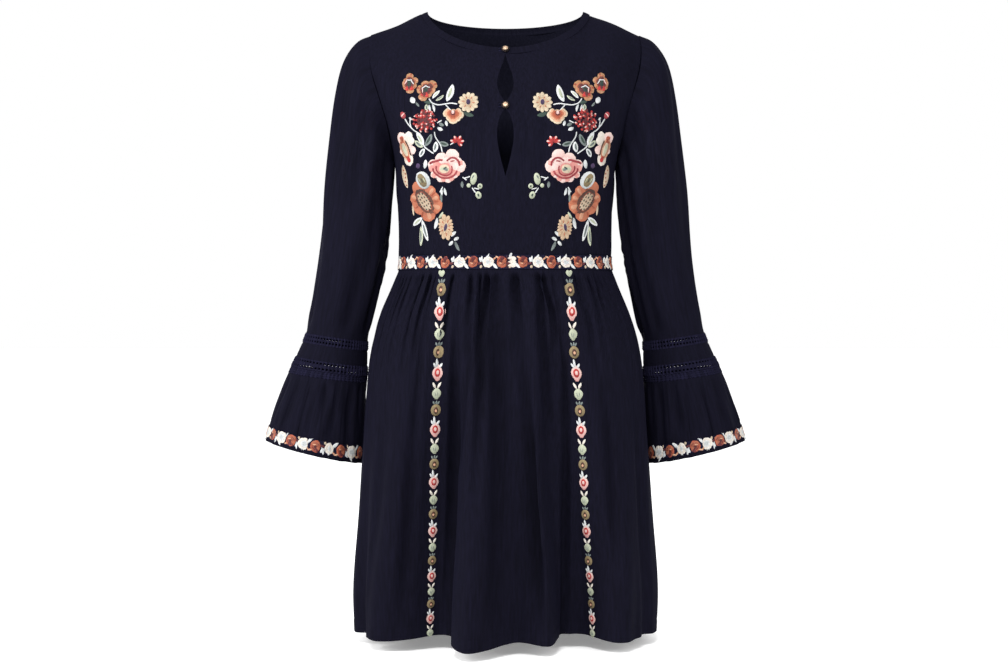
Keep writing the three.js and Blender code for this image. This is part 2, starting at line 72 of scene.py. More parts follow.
# %% [markdown]
# ## Light
#
# Dark cloth on a white ground needs light from all round. One lamp would leave black sides, and a white
# room alone would flatten the folds. So there is a white room, and in front of it large soft lights that
# are not equal, which keeps a light and a dark side on each fold. The floor's height is fixed here too,
# just under the hem.

# %% Light and floor
FLOOR_Z = -0.862

world = bpy.data.worlds.new("white_room")
world.use_nodes = True
world.node_tree.nodes["Background"].inputs["Color"].default_value = (1, 1, 1, 1)
world.node_tree.nodes["Background"].inputs["Strength"].default_value = 1.0
bpy.context.scene.world = world


def soft_light(name, place, target, size, power):
    light = bpy.data.lights.new(name, "AREA")
    light.shape = "RECTANGLE"
    light.size = size[0]
    light.size_y = size[1]
    light.energy = power
    holder = bpy.data.objects.new(name, light)
    holder.location = place
    aim = Vector(target) - Vector(place)
    holder.rotation_euler = aim.to_track_quat("-Z", "Y").to_euler()
    bpy.context.scene.collection.objects.link(holder)


soft_light("left_window", (-2.8, -1.6, 0.8), (0, 0, -0.4), (1.0, 2.0), 112)
soft_light("right_window", (2.4, -1.6, 0.4), (0, 0, -0.4), (1.2, 2.0), 20)
soft_light("above_camera", (-0.2, -2.0, 1.05), (0, 0, -0.12), (0.8, 0.5), 60)

# %% [markdown]
# ## Building materials from nodes
#
# A picture of cloth could be wrapped round each piece, but it would need a flat map and would show its
# repeats. Noise worked out in space needs neither. So every finish here is built from noise, and a few
# helpers keep the wiring short. Each mesh carries a vector called cloth: the place on the flat cloth in
# metres, with the last number along its length.

# %% Material helpers
def linear(red, green, blue):
    """A colour as seen on a screen, from 0 to 255, turned into the amounts of light that a shader uses."""
    shares = np.array([red, green, blue]) / 255
    return tuple(np.where(shares < 0.04045, shares / 12.92, ((shares + 0.055) / 1.055) ** 2.4)) + (1.0,)


def new_material(name):
    material = bpy.data.materials.new(name)
    material.use_nodes = True
    tree = material.node_tree
    return material, tree, tree.nodes["Principled BSDF"]


def add_node(tree, kind, **settings):
    node = tree.nodes.new(kind)
    for key, value in settings.items():
        setattr(node, key, value)
    return node


def read_attribute(tree, name, output="Vector"):
    return add_node(tree, "ShaderNodeAttribute", attribute_name=name).outputs[output]


def noise(tree, vector, scale, detail=2.0, stretch=(1, 1, 1)):
    mapping = add_node(tree, "ShaderNodeMapping")
    mapping.inputs["Scale"].default_value = stretch
    tree.links.new(vector, mapping.inputs["Vector"])
    texture = add_node(tree, "ShaderNodeTexNoise")
    texture.inputs["Scale"].default_value = scale
    texture.inputs["Detail"].default_value = detail
    tree.links.new(mapping.outputs["Vector"], texture.inputs["Vector"])
    return texture.outputs["Fac"]


def mixed_colour(tree, factor, low, high, start=0.3, end=0.7):
    ramp = add_node(tree, "ShaderNodeValToRGB")
    ramp.color_ramp.elements[0].position = start
    ramp.color_ramp.elements[0].color = low
    ramp.color_ramp.elements[1].position = end
    ramp.color_ramp.elements[1].color = high
    tree.links.new(factor, ramp.inputs["Fac"])
    return ramp.outputs["Color"]


def add_bump(tree, height, distance, strength=1.0, under=None):
    bump = add_node(tree, "ShaderNodeBump")
    bump.inputs["Distance"].default_value = distance
    bump.inputs["Strength"].default_value = strength
    tree.links.new(height, bump.inputs["Height"])
    if under is not None:
        tree.links.new(under, bump.inputs["Normal"])
    return bump.outputs["Normal"]


# %% [markdown]
# ## Navy crepe
#
# Crepe is a fine matt cloth whose twisted yarns leave small crinkles running down the length. Real crinkles
# could be modelled, but they are finer than a mesh can hold, so noise squeezed along the length bumps the
# surface, and finer noise makes the weave. Each mesh also carries a number called fold, which is 1 in a
# deep crease: the colour is darkened by it. This is painted shade, the creases' shadow put into the colour,
# because a soft white room reaches deeper into a crease than a studio's lamps do.

# %% Navy crepe
NAVY_DEEP = linear(9.4, 9.0, 16.8)
NAVY_LIGHT = linear(13.4, 12.8, 23.4)
# Painted shade: the share by which the crepe's colour darkens at the bottom of a deep crease.
CREASE_PAINTED_SHADE = -0.42


def crepe(name, deep=NAVY_DEEP, light=NAVY_LIGHT, crinkle=0.00022):
    material, tree, shader = new_material(name)
    place = read_attribute(tree, "cloth")
    grain = noise(tree, place, 520, 2.0, (1, 1, 0.07))
    weave = noise(tree, place, 2600, 1.0)
    # Painted shade: the colour is darkened where the fold number is high, in the creases.
    shade = add_node(tree, "ShaderNodeMath", operation="MULTIPLY_ADD")
    tree.links.new(read_attribute(tree, "fold", "Fac"), shade.inputs[0])
    shade.inputs[1].default_value = CREASE_PAINTED_SHADE
    shade.inputs[2].default_value = 1.0
    shaded = add_node(tree, "ShaderNodeVectorMath", operation="SCALE")
    tree.links.new(mixed_colour(tree, grain, deep, light), shaded.inputs[0])
    tree.links.new(shade.outputs[0], shaded.inputs["Scale"])
    tree.links.new(shaded.outputs[0], shader.inputs["Base Color"])
    crinkled = add_bump(tree, grain, crinkle, 0.4)
    woven = add_bump(tree, weave, 0.00008, 0.5, crinkled)
    tree.links.new(woven, shader.inputs["Normal"])
    shader.inputs["Roughness"].default_value = 0.88
    shader.inputs["Specular IOR Level"].default_value = 0.02
    shader.inputs["Sheen Weight"].default_value = 0.012
    shader.inputs["Sheen Roughness"].default_value = 0.45
    shader.inputs["Sheen Tint"].default_value = linear(120, 120, 190)
    return material


navy = crepe("navy_crepe")
# The wrong side is a lighter copy of the crepe: partly its own duller tone, mostly painted light that stands in for the
# light reaching the insides through the neck and the keyhole.
wrong_side_painted_light = crepe("navy_crepe_wrong_side_painted_light", linear(16, 16, 26), linear(23, 23, 34))
lace = crepe("navy_lace_cotton", linear(12.5, 12, 23), linear(21.5, 20.6, 37), 0.0001)
print("cloth materials:", navy.name, lace.name)

# %% [markdown]
# ## Curves of the pattern
#
# A dressmaker starts from a few measurements and draws each part from rows of widths. A body could be
# sculpted instead, but rows can be read and changed. They are the same rows and rules as the frame's, so
# the cloth lies where the frame is.

# %% Measurements in millimetres
CLOTH = 1.0
HEM_Z = -845.0
WAIST_Z = -345.0
UNDERARM_Z = -203.0
NECK_HALF_WIDTH = 106.5
SHOULDER_SLOPE = 0.41
SHOULDER_TIP_X = 184.0
SHOULDER_ROUNDING = 120.0
NECK_FRONT = (60.0, 1.2)
NECK_BACK = (15.0, 1.0)
BINDING_WIDTH = 8.0
SLIT_BOTTOM_Z = -234.0
SLIT_LENSES = [(-67, -137, 10.8, 1.45), (-146, SLIT_BOTTOM_Z, 10.8, 0.7)]
CENTRE_STRIP_HALF = 7.0
BUTTON_HEIGHTS = {"top": -63.5, "lower": -141.5}
SQUARENESS = 2.35

# height, half width, depth to the front, depth to the back
BODICE = [
    (-345, 144, 100, 88),
    (-300, 145.5, 110, 94),
    (-235, 149.5, 120, 103),
    (-203, 152, 121, 106),
    (-174, 160, 118, 107),
    (-150, 169, 111, 104),
    (-117, 188, 99, 98),
    (-87, 205, 88, 89),
    (-57, 220, 76, 78),
    (-31, 230, 63, 66),
    (50, 230, 40, 44),
]
ARMHOLE = [(-203, 152), (-174, 157), (-150, 162), (-117, 172), (-87, 181), (-57, 185), (-31.775, 184)]
SKIRT = [
    (-845, 206, 117, 130),
    (-800, 207.5, 119, 131),
    (-765, 206.5, 120, 131),
    (-700, 202, 121, 130),
    (-615, 197, 122, 129),
    (-488, 187.5, 122, 126),
    (-450, 181, 120, 122),
    (-416, 171, 116, 116),
    (-380, 156, 108, 102),
    (-357, 147, 102, 91),
    (-345, 144, 100, 88),
]

# where a fold starts, its angle there and at the hem, how deep it sinks, and its width on either side in degrees
SKIRT_FOLDS = [
    (-372, -17, -23, 42, 22, 9),
    (-380, -8, -10, -36, 9, 13),
    (-400, 1, 3, 15, 7, 9),
    (-400, 9, 12, -5, 6, 6),
    (-450, 13, 20.5, 40, 8, 9),
    (-480, 22, 29, 42, 9, 13),
    (-420, 42, 47, -8, 10, 12),
    (-430, -44, -50, -7, 10, 12),
    (-450, 63, 66, 10, 9, 9),
    (-440, -66, -70, 9, 9, 9),
    (-400, 124, 121, 18, 10, 8),
    (-380, 152, 150, 30, 8, 12),
    (-420, 165, 164, -12, 7, 8),
    (-430, 177, 179, 18, 9, 8),
    (-375, 203, 205, 32, 11, 9),
    (-420, 220, 221, -9, 8, 8),
    (-420, 235, 238, 18, 9, 10),
]
FOLD_HEM_LIFT = 0.1
GATHERS_PER_TURN = 72
GATHER_DEPTH = 1.6
GATHERS_FROM = -356.0
GATHERS_FULL = -372.0
GATHERS_GONE = -560.0

# distance along the arm, outer outline x and z, inner outline x and z, half depth, middle y
SLEEVE = [
    (0, 184.4, -31.6, 152, -203, 49, 0),
    (10, 201, -39.4, 152.6, -206, 50, 0),
    (23, 214.5, -56, 153, -211, 51, 0),
    (38, 224, -78, 153.6, -218, 52, 0),
    (63, 231.5, -115, 154.5, -230, 53, 1),
    (106, 239, -175, 156, -255, 53, 3),
    (161, 248, -245, 160, -295, 51, 8),
    (230, 255.5, -325, 168, -352, 48, 14),
    (286, 264.5, -385, 180, -402, 46, 19),
    (328, 273.5, -429, 189.5, -441, 45, 23),
    (340, 276, -440, 191.3, -452, 45, 25),
    (353, 281, -452.5, 191.8, -465, 46, 27),
    (374.5, 290.5, -472.5, 192.2, -487, 49, 29),
    (388.5, 297.4, -486, 192.5, -500.5, 52, 31),
    (397.7, 301.6, -495, 193, -509.5, 54, 32),
    (450, 321, -544, 194.5, -567, 64, 39),
    (500, 335.5, -589, 196.5, -622, 70, 45),
]
CAP_FADE = 40.0
SLEEVE_END = 340.0
UPPER_LADDER_END = 353.0
BAND_END = 374.5
LOWER_LADDER_END = 388.5
HEADER_END = 397.7
RUFFLE_HEM = 500.0
RUFFLE_WAVES = 15
RUFFLE_DEPTH = 4.2
RUFFLE_TAPE = (478.0, 495.0)
WAIST_TAPE = (-354.5, -335.5)


# %% [markdown]
# ## Smooth curves
#
# A pattern gives a row of measurements at a few heights, and the cloth runs smoothly between them. Blender
# has curve objects for that, but a formula can be asked for the width at any height. So each column of a
# table becomes a smooth function, and three small shapes, a step, a bell and a signed power, do for nearly
# all that follows.

# %% Smooth curves through the rows
def curve_of(rows, column):
    """A smooth curve through one column of a table, against its first column."""
    rows = np.array(sorted(rows), float)
    at = rows[:, 0]
    value = rows[:, column]
    before = np.maximum(np.arange(len(at)) - 1, 0)
    after = np.minimum(np.arange(len(at)) + 1, len(at) - 1)
    slope = (value[after] - value[before]) / (at[after] - at[before])

    def curve(place):
        place = np.clip(place, at[0], at[-1])
        i = np.clip(np.searchsorted(at, place, side="right") - 1, 0, len(at) - 2)
        span = at[i + 1] - at[i]
        t = (place - at[i]) / span
        start = (2 * t**3 - 3 * t**2 + 1) * value[i] + (t**3 - 2 * t**2 + t) * span * slope[i]
        end = (3 * t**2 - 2 * t**3) * value[i + 1] + (t**3 - t**2) * span * slope[i + 1]
        return start + end

    return curve


def mix(low, high, share):
    return low + (high - low) * share


def signed_power(value, power):
    return np.sign(value) * np.abs(value) ** power


def smooth_step(value):
    value = np.clip(value, 0, 1)
    return value * value * (3 - 2 * value)


def bell(away, width):
    """1 at a line, easing to 0 at its width on either side."""
    return np.where(np.abs(away) < width, 0.5 + 0.5 * np.cos(np.pi * away / width), 0.0)


def vector(x, y, z):
    return np.stack(np.broadcast_arrays(x, y, z), axis=-1).astype(float)


# %% [markdown]
# ## Shape of the bodice
#
# Seen from the front, each place on the bodice has a width and a height. A body could be sculpted and the
# cloth shrunk onto it, but the chest's section is simply a rounded square. So how far a place stands from
# the plane of the shoulder seams follows from that section, fading to nothing at the shoulder.

# %% Bodice form
chest_side = curve_of(BODICE, 1)
chest_front = curve_of(BODICE, 2)
chest_back = curve_of(BODICE, 3)
armhole_x = curve_of(ARMHOLE, 1)
FRONT = {"sign": -1, "depth": chest_front, "neck": NECK_FRONT}
BACK = {"sign": 1, "depth": chest_back, "neck": NECK_BACK}


def shoulder_z(x):
    x = np.abs(x)
    over_neck = (NECK_HALF_WIDTH**2 + x**2) / (2 * NECK_HALF_WIDTH)
    rise = np.where(x > NECK_HALF_WIDTH, x, over_neck)
    return (NECK_HALF_WIDTH - rise) * SHOULDER_SLOPE


def neck_z(x, outside, neck):
    drop, power = neck
    reach = NECK_HALF_WIDTH + outside
    share = (1 - np.minimum(np.abs(x) / reach, 1) ** 2) ** (power / 2)
    return mix(shoulder_z(reach), -drop - outside, share)


def chest_depth(x, z, face):
    below = np.clip((shoulder_z(x) - z) / SHOULDER_ROUNDING, 0, 1)
    across = np.clip(np.abs(x) / chest_side(z), 0, 1)
    section = (1 - across**SQUARENESS) ** (1 / SQUARENESS)
    return face["depth"](z) * section * np.sqrt(1 - (1 - below) ** 2)


def on_bodice(x, z, face):
    return vector(x, face["sign"] * chest_depth(x, z, face), z)


def slit_half(z):
    """Half the width of the slit; under the slit, half the strip of whole cloth there."""
    half = np.zeros_like(z) + 0.05
    for top, bottom, reach, skew in SLIT_LENSES:
        down = np.clip((top - z) / (top - bottom), 0, 1)
        half = half + reach * np.sin(np.pi * down**skew)
    return np.where(z < SLIT_BOTTOM_Z, np.minimum(0.05 + (SLIT_BOTTOM_Z - z) * 0.2, CENTRE_STRIP_HALF), half)


SHOULDER_TIP_Z = float(shoulder_z(SHOULDER_TIP_X))
CENTRE_SHARE = 0.035


def bodice_surface(face, slit):
    """u runs from one side to the other, -1 to 1; v from 0 at the waist to 1 at the underarm and 2 at the top."""
    drop = face["neck"][0]

    def surface(u, v):
        upper = np.clip(v - 1, 0, 1)
        edge_z = np.where(v < 1, mix(WAIST_Z, UNDERARM_Z, v), mix(UNDERARM_Z, SHOULDER_TIP_Z, upper))
        edge_x = np.where(v < 1, chest_side(edge_z), armhole_x(edge_z))
        reach = chest_side(edge_z)
        centre_z = np.where(v < 1, edge_z, mix(UNDERARM_Z, -drop - BINDING_WIDTH, upper))
        inner = slit_half(centre_z) if slit else np.zeros_like(centre_z)
        centre = CENTRE_SHARE if slit else 0.0
        share = np.clip((np.abs(u) - centre) / (1 - centre), 0, 1)
        turn = np.arcsin(np.clip(edge_x / reach, -1, 1)) * share
        x = inner + reach * np.sin(turn) * (edge_x - inner) / edge_x
        if slit:
            x = np.where(np.abs(u) < centre, inner * np.abs(u) / centre, x)
        neck_edge = neck_z(x, BINDING_WIDTH, face["neck"])
        top = np.where(x < NECK_HALF_WIDTH + BINDING_WIDTH, neck_edge, shoulder_z(x))
        z = np.where(v < 1, edge_z, mix(UNDERARM_Z, top, upper))
        return on_bodice(np.where(u < 0, -x, x), z, face)

    return surface


# %% [markdown]
# ## Shape of the skirt
#
# The skirt leaves the waist tape full of small gathers, which smooth out over a hand's breadth, and then
# falls in a few long folds that deepen towards the hem. A cloth simulation would give folds of its own
# choosing. Here each long fold is a row with its angle at the top and at the hem, so it falls where the
# real one does.

# %% Skirt form
skirt_side = curve_of(SKIRT, 1)
skirt_depth_front = curve_of(SKIRT, 2)
skirt_depth_back = curve_of(SKIRT, 3)


def turn_between(angle, start):
    return (angle - start + 180) % 360 - 180


def fold_depth(angle, z):
    out = 0.0
    for top, top_angle, hem_angle, depth, before, after in SKIRT_FOLDS:
        down = np.clip((top - z) / (top - HEM_Z), 0, 1)
        away = turn_between(angle, mix(top_angle, hem_angle, down))
        width = np.where(away < 0, before, after)
        out = out - depth * np.sin(down * np.pi / 2) * bell(away, width)
    return out


def gather_depth(angle, z):
    started = np.clip((GATHERS_FROM - z) / (GATHERS_FROM - GATHERS_FULL), 0, 1)
    left = np.clip((z - GATHERS_GONE) / (GATHERS_FULL - GATHERS_GONE), 0, 1) ** 1.6
    turn = np.radians(angle)
    uneven = 0.7 + 0.3 * np.sin(5 * turn + 0.4) + 0.2 * np.sin(11 * turn + 1.1)
    return GATHER_DEPTH * started * left * uneven * np.cos(GATHERS_PER_TURN * turn)


def skirt_point(angle, z, folded=True):
    turn = np.radians(angle)
    side = skirt_side(z)
    depth = np.where(np.cos(turn) > 0, skirt_depth_front(z), skirt_depth_back(z))
    across = signed_power(np.sin(turn), 2 / SQUARENESS)
    along = -signed_power(np.cos(turn), 2 / SQUARENESS)
    out_x = signed_power(across, SQUARENESS - 1) / side
    out_y = signed_power(along, SQUARENESS - 1) / depth
    size = np.hypot(out_x, out_y)
    stand = fold_depth(angle, z) + gather_depth(angle, z) if folded else 0.0
    near_hem = np.clip((WAIST_Z - z) / (WAIST_Z - HEM_Z), 0, 1) ** 2
    return vector(
        side * across + stand * out_x / size,
        depth * along + stand * out_y / size,
        z - FOLD_HEM_LIFT * near_hem * stand,
    )


# %% [markdown]
# ## Shape of the arm
#
# The sleeve, the lace cuff and the ruffle are rings round the arm. A tube along a bent line would be
# simpler, but its rings would cross at the shoulder. Here each ring lies between a point on the outer
# outline and one on the inner, which lets the cap slide from the armhole's curve into the arm's.

# %% Arm form
arm_top_x, arm_top_z, arm_under_x, arm_under_z, arm_depth, arm_y = [curve_of(SLEEVE, c) for c in range(1, 7)]


def arm_section(angle, at):
    turn = np.radians(angle)
    outward = 0.5 + 0.5 * np.cos(turn)
    return vector(
        mix(arm_under_x(at), arm_top_x(at), outward),
        arm_y(at) - arm_depth(at) * np.sin(turn),
        mix(arm_under_z(at), arm_top_z(at), outward),
    )


def armhole_point(angle):
    turn = np.radians(angle)
    z = mix(UNDERARM_Z, SHOULDER_TIP_Z, 0.5 + 0.5 * np.cos(turn))
    x = armhole_x(z)
    front = on_bodice(x, z, FRONT)
    back = on_bodice(x, z, BACK)
    return np.where((np.sin(turn) > 0)[..., None], front, back)


def sleeve_point(angle, at):
    fade = 1 - smooth_step(at / CAP_FADE)
    cap = (armhole_point(angle) - arm_section(angle, np.zeros_like(at))) * fade[..., None]
    return arm_section(angle, at) + cap


def ruffle_point(angle, at):
    turn = np.radians(angle)
    down = np.clip((at - HEADER_END) / (RUFFLE_HEM - HEADER_END), 0, 1)
    calm = 1 - 0.75 * bell(turn_between(angle, 180), 75)
    wave = np.cos(RUFFLE_WAVES * turn + 0.9 * np.sin(2 * turn + 0.6))
    centre = (arm_section(np.zeros_like(angle), at) + arm_section(np.full_like(angle, 180.0), at)) / 2
    spoke = arm_section(angle, at) - centre
    length = np.linalg.norm(spoke, axis=-1, keepdims=True)
    out = RUFFLE_DEPTH * np.sin(down * np.pi / 2) * calm * wave
    return centre + spoke * (1 + out[..., None] / length)


# %% [markdown]
# ## From a surface to a wall of cloth
#
# Cloth has two sides and an edge all round. Blender's Solidify modifier could thicken a sheet, but it would
# not know which cells of the lace are open. So a grid of points is pushed out along its normals for the
# right side and in for the wrong side, and the open edges are joined. The same maker does for every panel
# and band.

# %% Mesh makers
def normals_of(surface, u, v, du, dv):
    along_u = surface(u + du, v) - surface(u - du, v)
    along_v = surface(u, v + dv) - surface(u, v - dv)
    normal = np.cross(along_u, along_v)
    return normal / np.maximum(np.linalg.norm(normal, axis=-1, keepdims=True), 1e-12)


def add_mesh(name, points, faces, materials, cloth=None, face_material=None, extra=None):
    mesh = bpy.data.meshes.new(name)
    mesh.from_pydata((np.asarray(points) * MM).tolist(), [], faces if isinstance(faces, list) else faces.tolist())
    for material in materials:
        mesh.materials.append(material)
    if face_material is not None:
        mesh.polygons.foreach_set("material_index", np.asarray(face_material, np.int32))
    if cloth is not None:
        layer = mesh.attributes.new("cloth", "FLOAT_VECTOR", "POINT")
        layer.data.foreach_set("vector", (np.asarray(cloth, float) * MM).ravel())
    for key, values in (extra or {}).items():
        layer = mesh.attributes.new(key, "FLOAT", "POINT")
        layer.data.foreach_set("value", np.asarray(values, float))
    mesh.polygons.foreach_set("use_smooth", np.ones(len(mesh.polygons), bool))
    mesh.set_sharp_from_angle(angle=math.radians(55))
    mesh.update()
    piece = bpy.data.objects.new(name, mesh)
    bpy.context.scene.collection.objects.link(piece)
    return piece


# %% The wall of cloth
def wall(name, surface, us, vs, material, size, thickness=CLOTH, lift=0.0, closed=False, turned=False,
         relief=None, cut=None, upright=False, lining=None):
    """A closed wall. size is the flat cloth's width and length; relief is how far each place stands out.

    An upright wall's grain runs straight up; another's runs along the grid. The crepe's wrong side is a lighter copy:
    partly its own duller tone, mostly painted light for the insides.
    """
    us = np.asarray(us, float)
    vs = np.asarray(vs, float)
    u, v = np.meshgrid(us, vs)
    rows, columns = u.shape
    point = surface(u, v)
    normal = normals_of(surface, u, v, 1e-3 * (us[-1] - us[0]), 1e-3 * (vs[-1] - vs[0]))
    normal = -normal if turned else normal
    stands_out = np.zeros_like(u) + (relief(u, v) if relief else 0.0)
    out = stands_out + lift
    # fold is 1 at the bottom of a deep crease and 0 on the wrong side; the crepe darkens by it as painted shade.
    fold = np.clip((-stands_out - 0.8) / 9, 0, 1).ravel()
    fold = {"fold": np.concatenate([fold, 0 * fold])}
    outer = point + normal * out[..., None]
    inner = point + normal * (out - thickness)[..., None]
    points = np.concatenate([outer.reshape(-1, 3), inner.reshape(-1, 3)])
    along = (v - vs[0]) / (vs[-1] - vs[0]) * size[1]
    if upright:
        place = point
    elif closed:
        turn = 2 * np.pi * (u - us[0]) / (us[-1] - us[0] + us[1] - us[0])
        round_radius = size[0] / (2 * np.pi)
        place = vector(round_radius * np.cos(turn), round_radius * np.sin(turn), along)
    else:
        place = vector((u - us[0]) / (us[-1] - us[0]) * size[0], 0 * u, along)
    cells = columns if closed else columns - 1
    kept = np.ones((rows - 1, cells), bool)
    if cut is not None:
        middle_u = (us + np.append(us[1:], 2 * us[-1] - us[-2]))[:cells] / 2
        kept &= ~cut(*np.meshgrid(middle_u, (vs[1:] + vs[:-1]) / 2))
    j, i = np.nonzero(kept)
    k = (i + 1) % columns
    layer = rows * columns
    a, b, c, d = j * columns + i, j * columns + k, (j + 1) * columns + k, (j + 1) * columns + i
    faces = [np.stack([a, b, c, d], 1), np.stack([a, d, c, b], 1) + layer]

    def missing(step_j, step_i):
        near_j = j + step_j
        near_i = (i + step_i) % cells if closed else i + step_i
        outside = (near_j < 0) | (near_j >= rows - 1) | (near_i < 0) | (near_i >= cells)
        inside = kept[np.clip(near_j, 0, rows - 2), np.clip(near_i, 0, cells - 1)]
        return outside | ~inside

    for (start, end), edge in (((a, b), missing(-1, 0)), ((c, d), missing(1, 0)), ((d, a), missing(0, -1)),
                               ((b, c), missing(0, 1))):
        p, q = start[edge], end[edge]
        faces.append(np.stack([p, p + layer, q + layer, q], 1))
    faces = np.concatenate(faces)
    if turned:
        faces = faces[:, ::-1]
    used, back = np.unique(faces, return_inverse=True)
    place = np.concatenate([place.reshape(-1, 3)] * 2)
    # Inner faces take the lighter wrong side, which is mostly painted light for the insides.
    materials = [material, lining or (wrong_side_painted_light if material == navy else material)]
    inward = (np.arange(len(faces)) >= len(j)) & (np.arange(len(faces)) < 2 * len(j))
    fold["fold"] = fold["fold"][used]
    return add_mesh(name, points[used], back.reshape(faces.shape), materials, place[used], inward, fold)


# %% Left and right, and what a piece stands for
def mirrored(surface, side):
    def placed(u, v):
        return surface(u, v) * np.array([side, 1, 1])

    return placed


def dress(piece, node):
    """The piece stands for a node of the frame, which is hidden, and is attached to the root."""
    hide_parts(node)
    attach(piece, "root")


# %% [markdown]
# ## What was cut
#
# Every piece of cloth was flat once. Its cut is a rectangle of a width and a length, of which a shaped
# piece fills only a share. Comparing the cut with the cloth of the finished mesh shows whether the mesh has
# the right amount of cloth: gathers hold a little more than the smooth surface that they are drawn on. A
# mesh with far too much or too little would look stretched or crumpled.


# %% [markdown]
# ## Uneven cloth
#
# Worn cloth is never quite smooth. Blender's noise textures could displace it, but then the lace, the tapes
# and the thread would not know where it went. A sum of a few slow waves gives soft dents and ridges that
# any piece can ask for, longer along the cloth than across it.

# %% Soft dents and creases
rng = np.random.default_rng(7)


def soft_dents(across, along, count=7):
    """A smooth field of about 1 in size: across and along are the usual sizes of a dent in mm."""
    turns = rng.uniform(0, 2 * np.pi, count)
    size_u = across * rng.uniform(0.7, 1.6, count)
    size_v = along * rng.uniform(0.7, 1.6, count) * rng.choice([-1, 1], count)

    def field(u, v):
        total = 0.0
        for n in range(count):
            total = total + np.sin(2 * np.pi * (u / size_u[n] + v / size_v[n]) + turns[n])
        return total / math.sqrt(count / 2)

    return field


def groove(value, line, width):
    """A narrow dip of depth 1 along a line."""
    return -np.exp(-(((value - line) / width) ** 2))


# %% [markdown]
# ## Bodice
#
# The front is one panel with a slit down the middle, turned in and topstitched; the back is plain. The
# cloth is close to the body, so it only dents softly and pulls a little towards the armholes and the waist
# tape. Beside the slit it is drawn in, because the two buttons hold the edges together, and that leaves two
# soft puckers on either side. These could be sculpted by hand; as a relief of a few terms each of them can
# be found and changed.

# %% Bodice panels
EDGE_TURNING = 4.5
TOPSTITCH_DIP = 0.25


def rows_with(count, start, end, always=()):
    return np.unique(np.concatenate([np.linspace(start, end, count), np.array(always, float)]))


def panel_relief(dents, ripples, armhole_pull):
    def relief(u, v):
        across = u * 150
        along = v * 145
        near_waist = np.exp(-(v * 142 / 26) ** 2)
        near_arm = bell(np.abs(u) - 1, 0.3) * bell(v - 1.15, 0.5)
        soft = 0.9 * dents(across, along)
        pull = armhole_pull * near_arm * np.sin(across / 5.5 + along / 9)
        puckers = 0.5 * near_waist * ripples(across, along)
        seam = 0.5 * groove(v * 142, 0, 6) + 0.25 * groove((np.abs(u) - 1) * 150, 0, 4)
        return soft + pull + puckers + seam

    return relief


plain_front = panel_relief(soft_dents(70, 130), soft_dents(9, 90), 0.35)


def front_relief(u, v):
    from_slit = (np.abs(u) - CENTRE_SHARE) * 150
    beside_slit = (v > (SLIT_BOTTOM_Z - WAIST_Z) / (UNDERARM_Z - WAIST_Z)) & (from_slit > -1)
    turned_in = 0.45 * smooth_step((EDGE_TURNING - from_slit) / 1.2 + 0.5)
    stitch = TOPSTITCH_DIP * groove(from_slit, EDGE_TURNING - 1, 0.7)
    calm = smooth_step(np.abs(u) * 6)
    beside = smooth_step((v - slit_v + 0.15) / 0.35) * (1 - smooth_step((v - 1.5) / 0.45))
    drawn_in = 1.5 * bell(from_slit - 13, 5) + 1.1 * bell(from_slit - 24 - 5 * v, 6)
    return plain_front(u, v) * calm - drawn_in * beside + np.where(beside_slit, turned_in + stitch, 0.0)


slit_v = (SLIT_BOTTOM_Z - WAIST_Z) / (UNDERARM_Z - WAIST_Z)
fine = np.array([0, 0.006, 0.012, 0.018, 0.024, 0.03, 0.038, 0.047, 0.058, 0.07])
half_us = np.concatenate([CENTRE_SHARE + fine, np.linspace(CENTRE_SHARE + 0.085, 1, 62)])
front_us = np.concatenate([-half_us[::-1], [-0.012, 0.012], half_us])
bodice_front = wall(
    "bodice_front_cloth",
    bodice_surface(FRONT, True),
    front_us,
    rows_with(130, 0, 2, [slit_v]),
    navy,
    (330, 300),
    relief=front_relief,
    upright=True,
    cut=lambda u, v: (np.abs(u) < CENTRE_SHARE) & (v > slit_v),
)
dress(bodice_front, "bodice_front")

bodice_back = wall(
    "bodice_back_cloth",
    bodice_surface(BACK, False),
    np.linspace(-1, 1, 120),
    rows_with(110, 0, 2),
    navy,
    (330, 330),
    turned=True,
    upright=True,
    relief=panel_relief(soft_dents(60, 120), soft_dents(9, 80), 0.4),
)
dress(bodice_back, "bodice_back")
print("bodice:", len(bodice_front.data.polygons), "faces in front,", len(bodice_back.data.polygons), "at the back")

# %% [markdown]
# ## Neck binding
#
# A bias strip is folded over the raw neck edge. A round cord along the neck would look like piping; the
# real binding is flat, soft at the fold and stitched down near its lower edge. So it is a narrow wall that
# laps a little over the panels, with a rounded relief and a fine groove for the stitching. It starts and
# ends at the slit.

# %% Neck binding


def binding_surface(angle, outside):
    turn = np.radians(angle)
    x = (NECK_HALF_WIDTH + outside) * np.sin(turn)
    front = on_bodice(x, neck_z(x, outside, NECK_FRONT), FRONT)
    back = on_bodice(x, neck_z(x, outside, NECK_BACK), BACK)
    return np.where((np.cos(turn) > 0)[..., None], front, back)


slit_angle = math.degrees(math.asin(0.8 / NECK_HALF_WIDTH))
binding = wall(
    "neck_binding_cloth",
    binding_surface,
    np.linspace(slit_angle, 360 - slit_angle, 260),
    np.linspace(BINDING_WIDTH + 0.8, 0, 9),
    navy,
    (570, 9),
    thickness=1.2,
    lift=0.35,
    relief=lambda a, o: 0.45 * np.sqrt(np.clip(1 - ((o - 4) / 5.2) ** 2, 0, 1)) + 0.3 * groove(o, 7.4, 0.7),
)
dress(binding, "neck_binding")

# %% [markdown]
# ## Antique brass
#
# The buttons are brass that has been darkened and then rubbed bright again on its high places. Dirt could
# be painted in, but the mesh knows its own hollows: it carries a number called hollow, and that with a
# little noise picks between bright and dark metal. The number is also high over the whole outer part of
# each button, rim included, so the metal is darker towards the rim and bright in the middle.

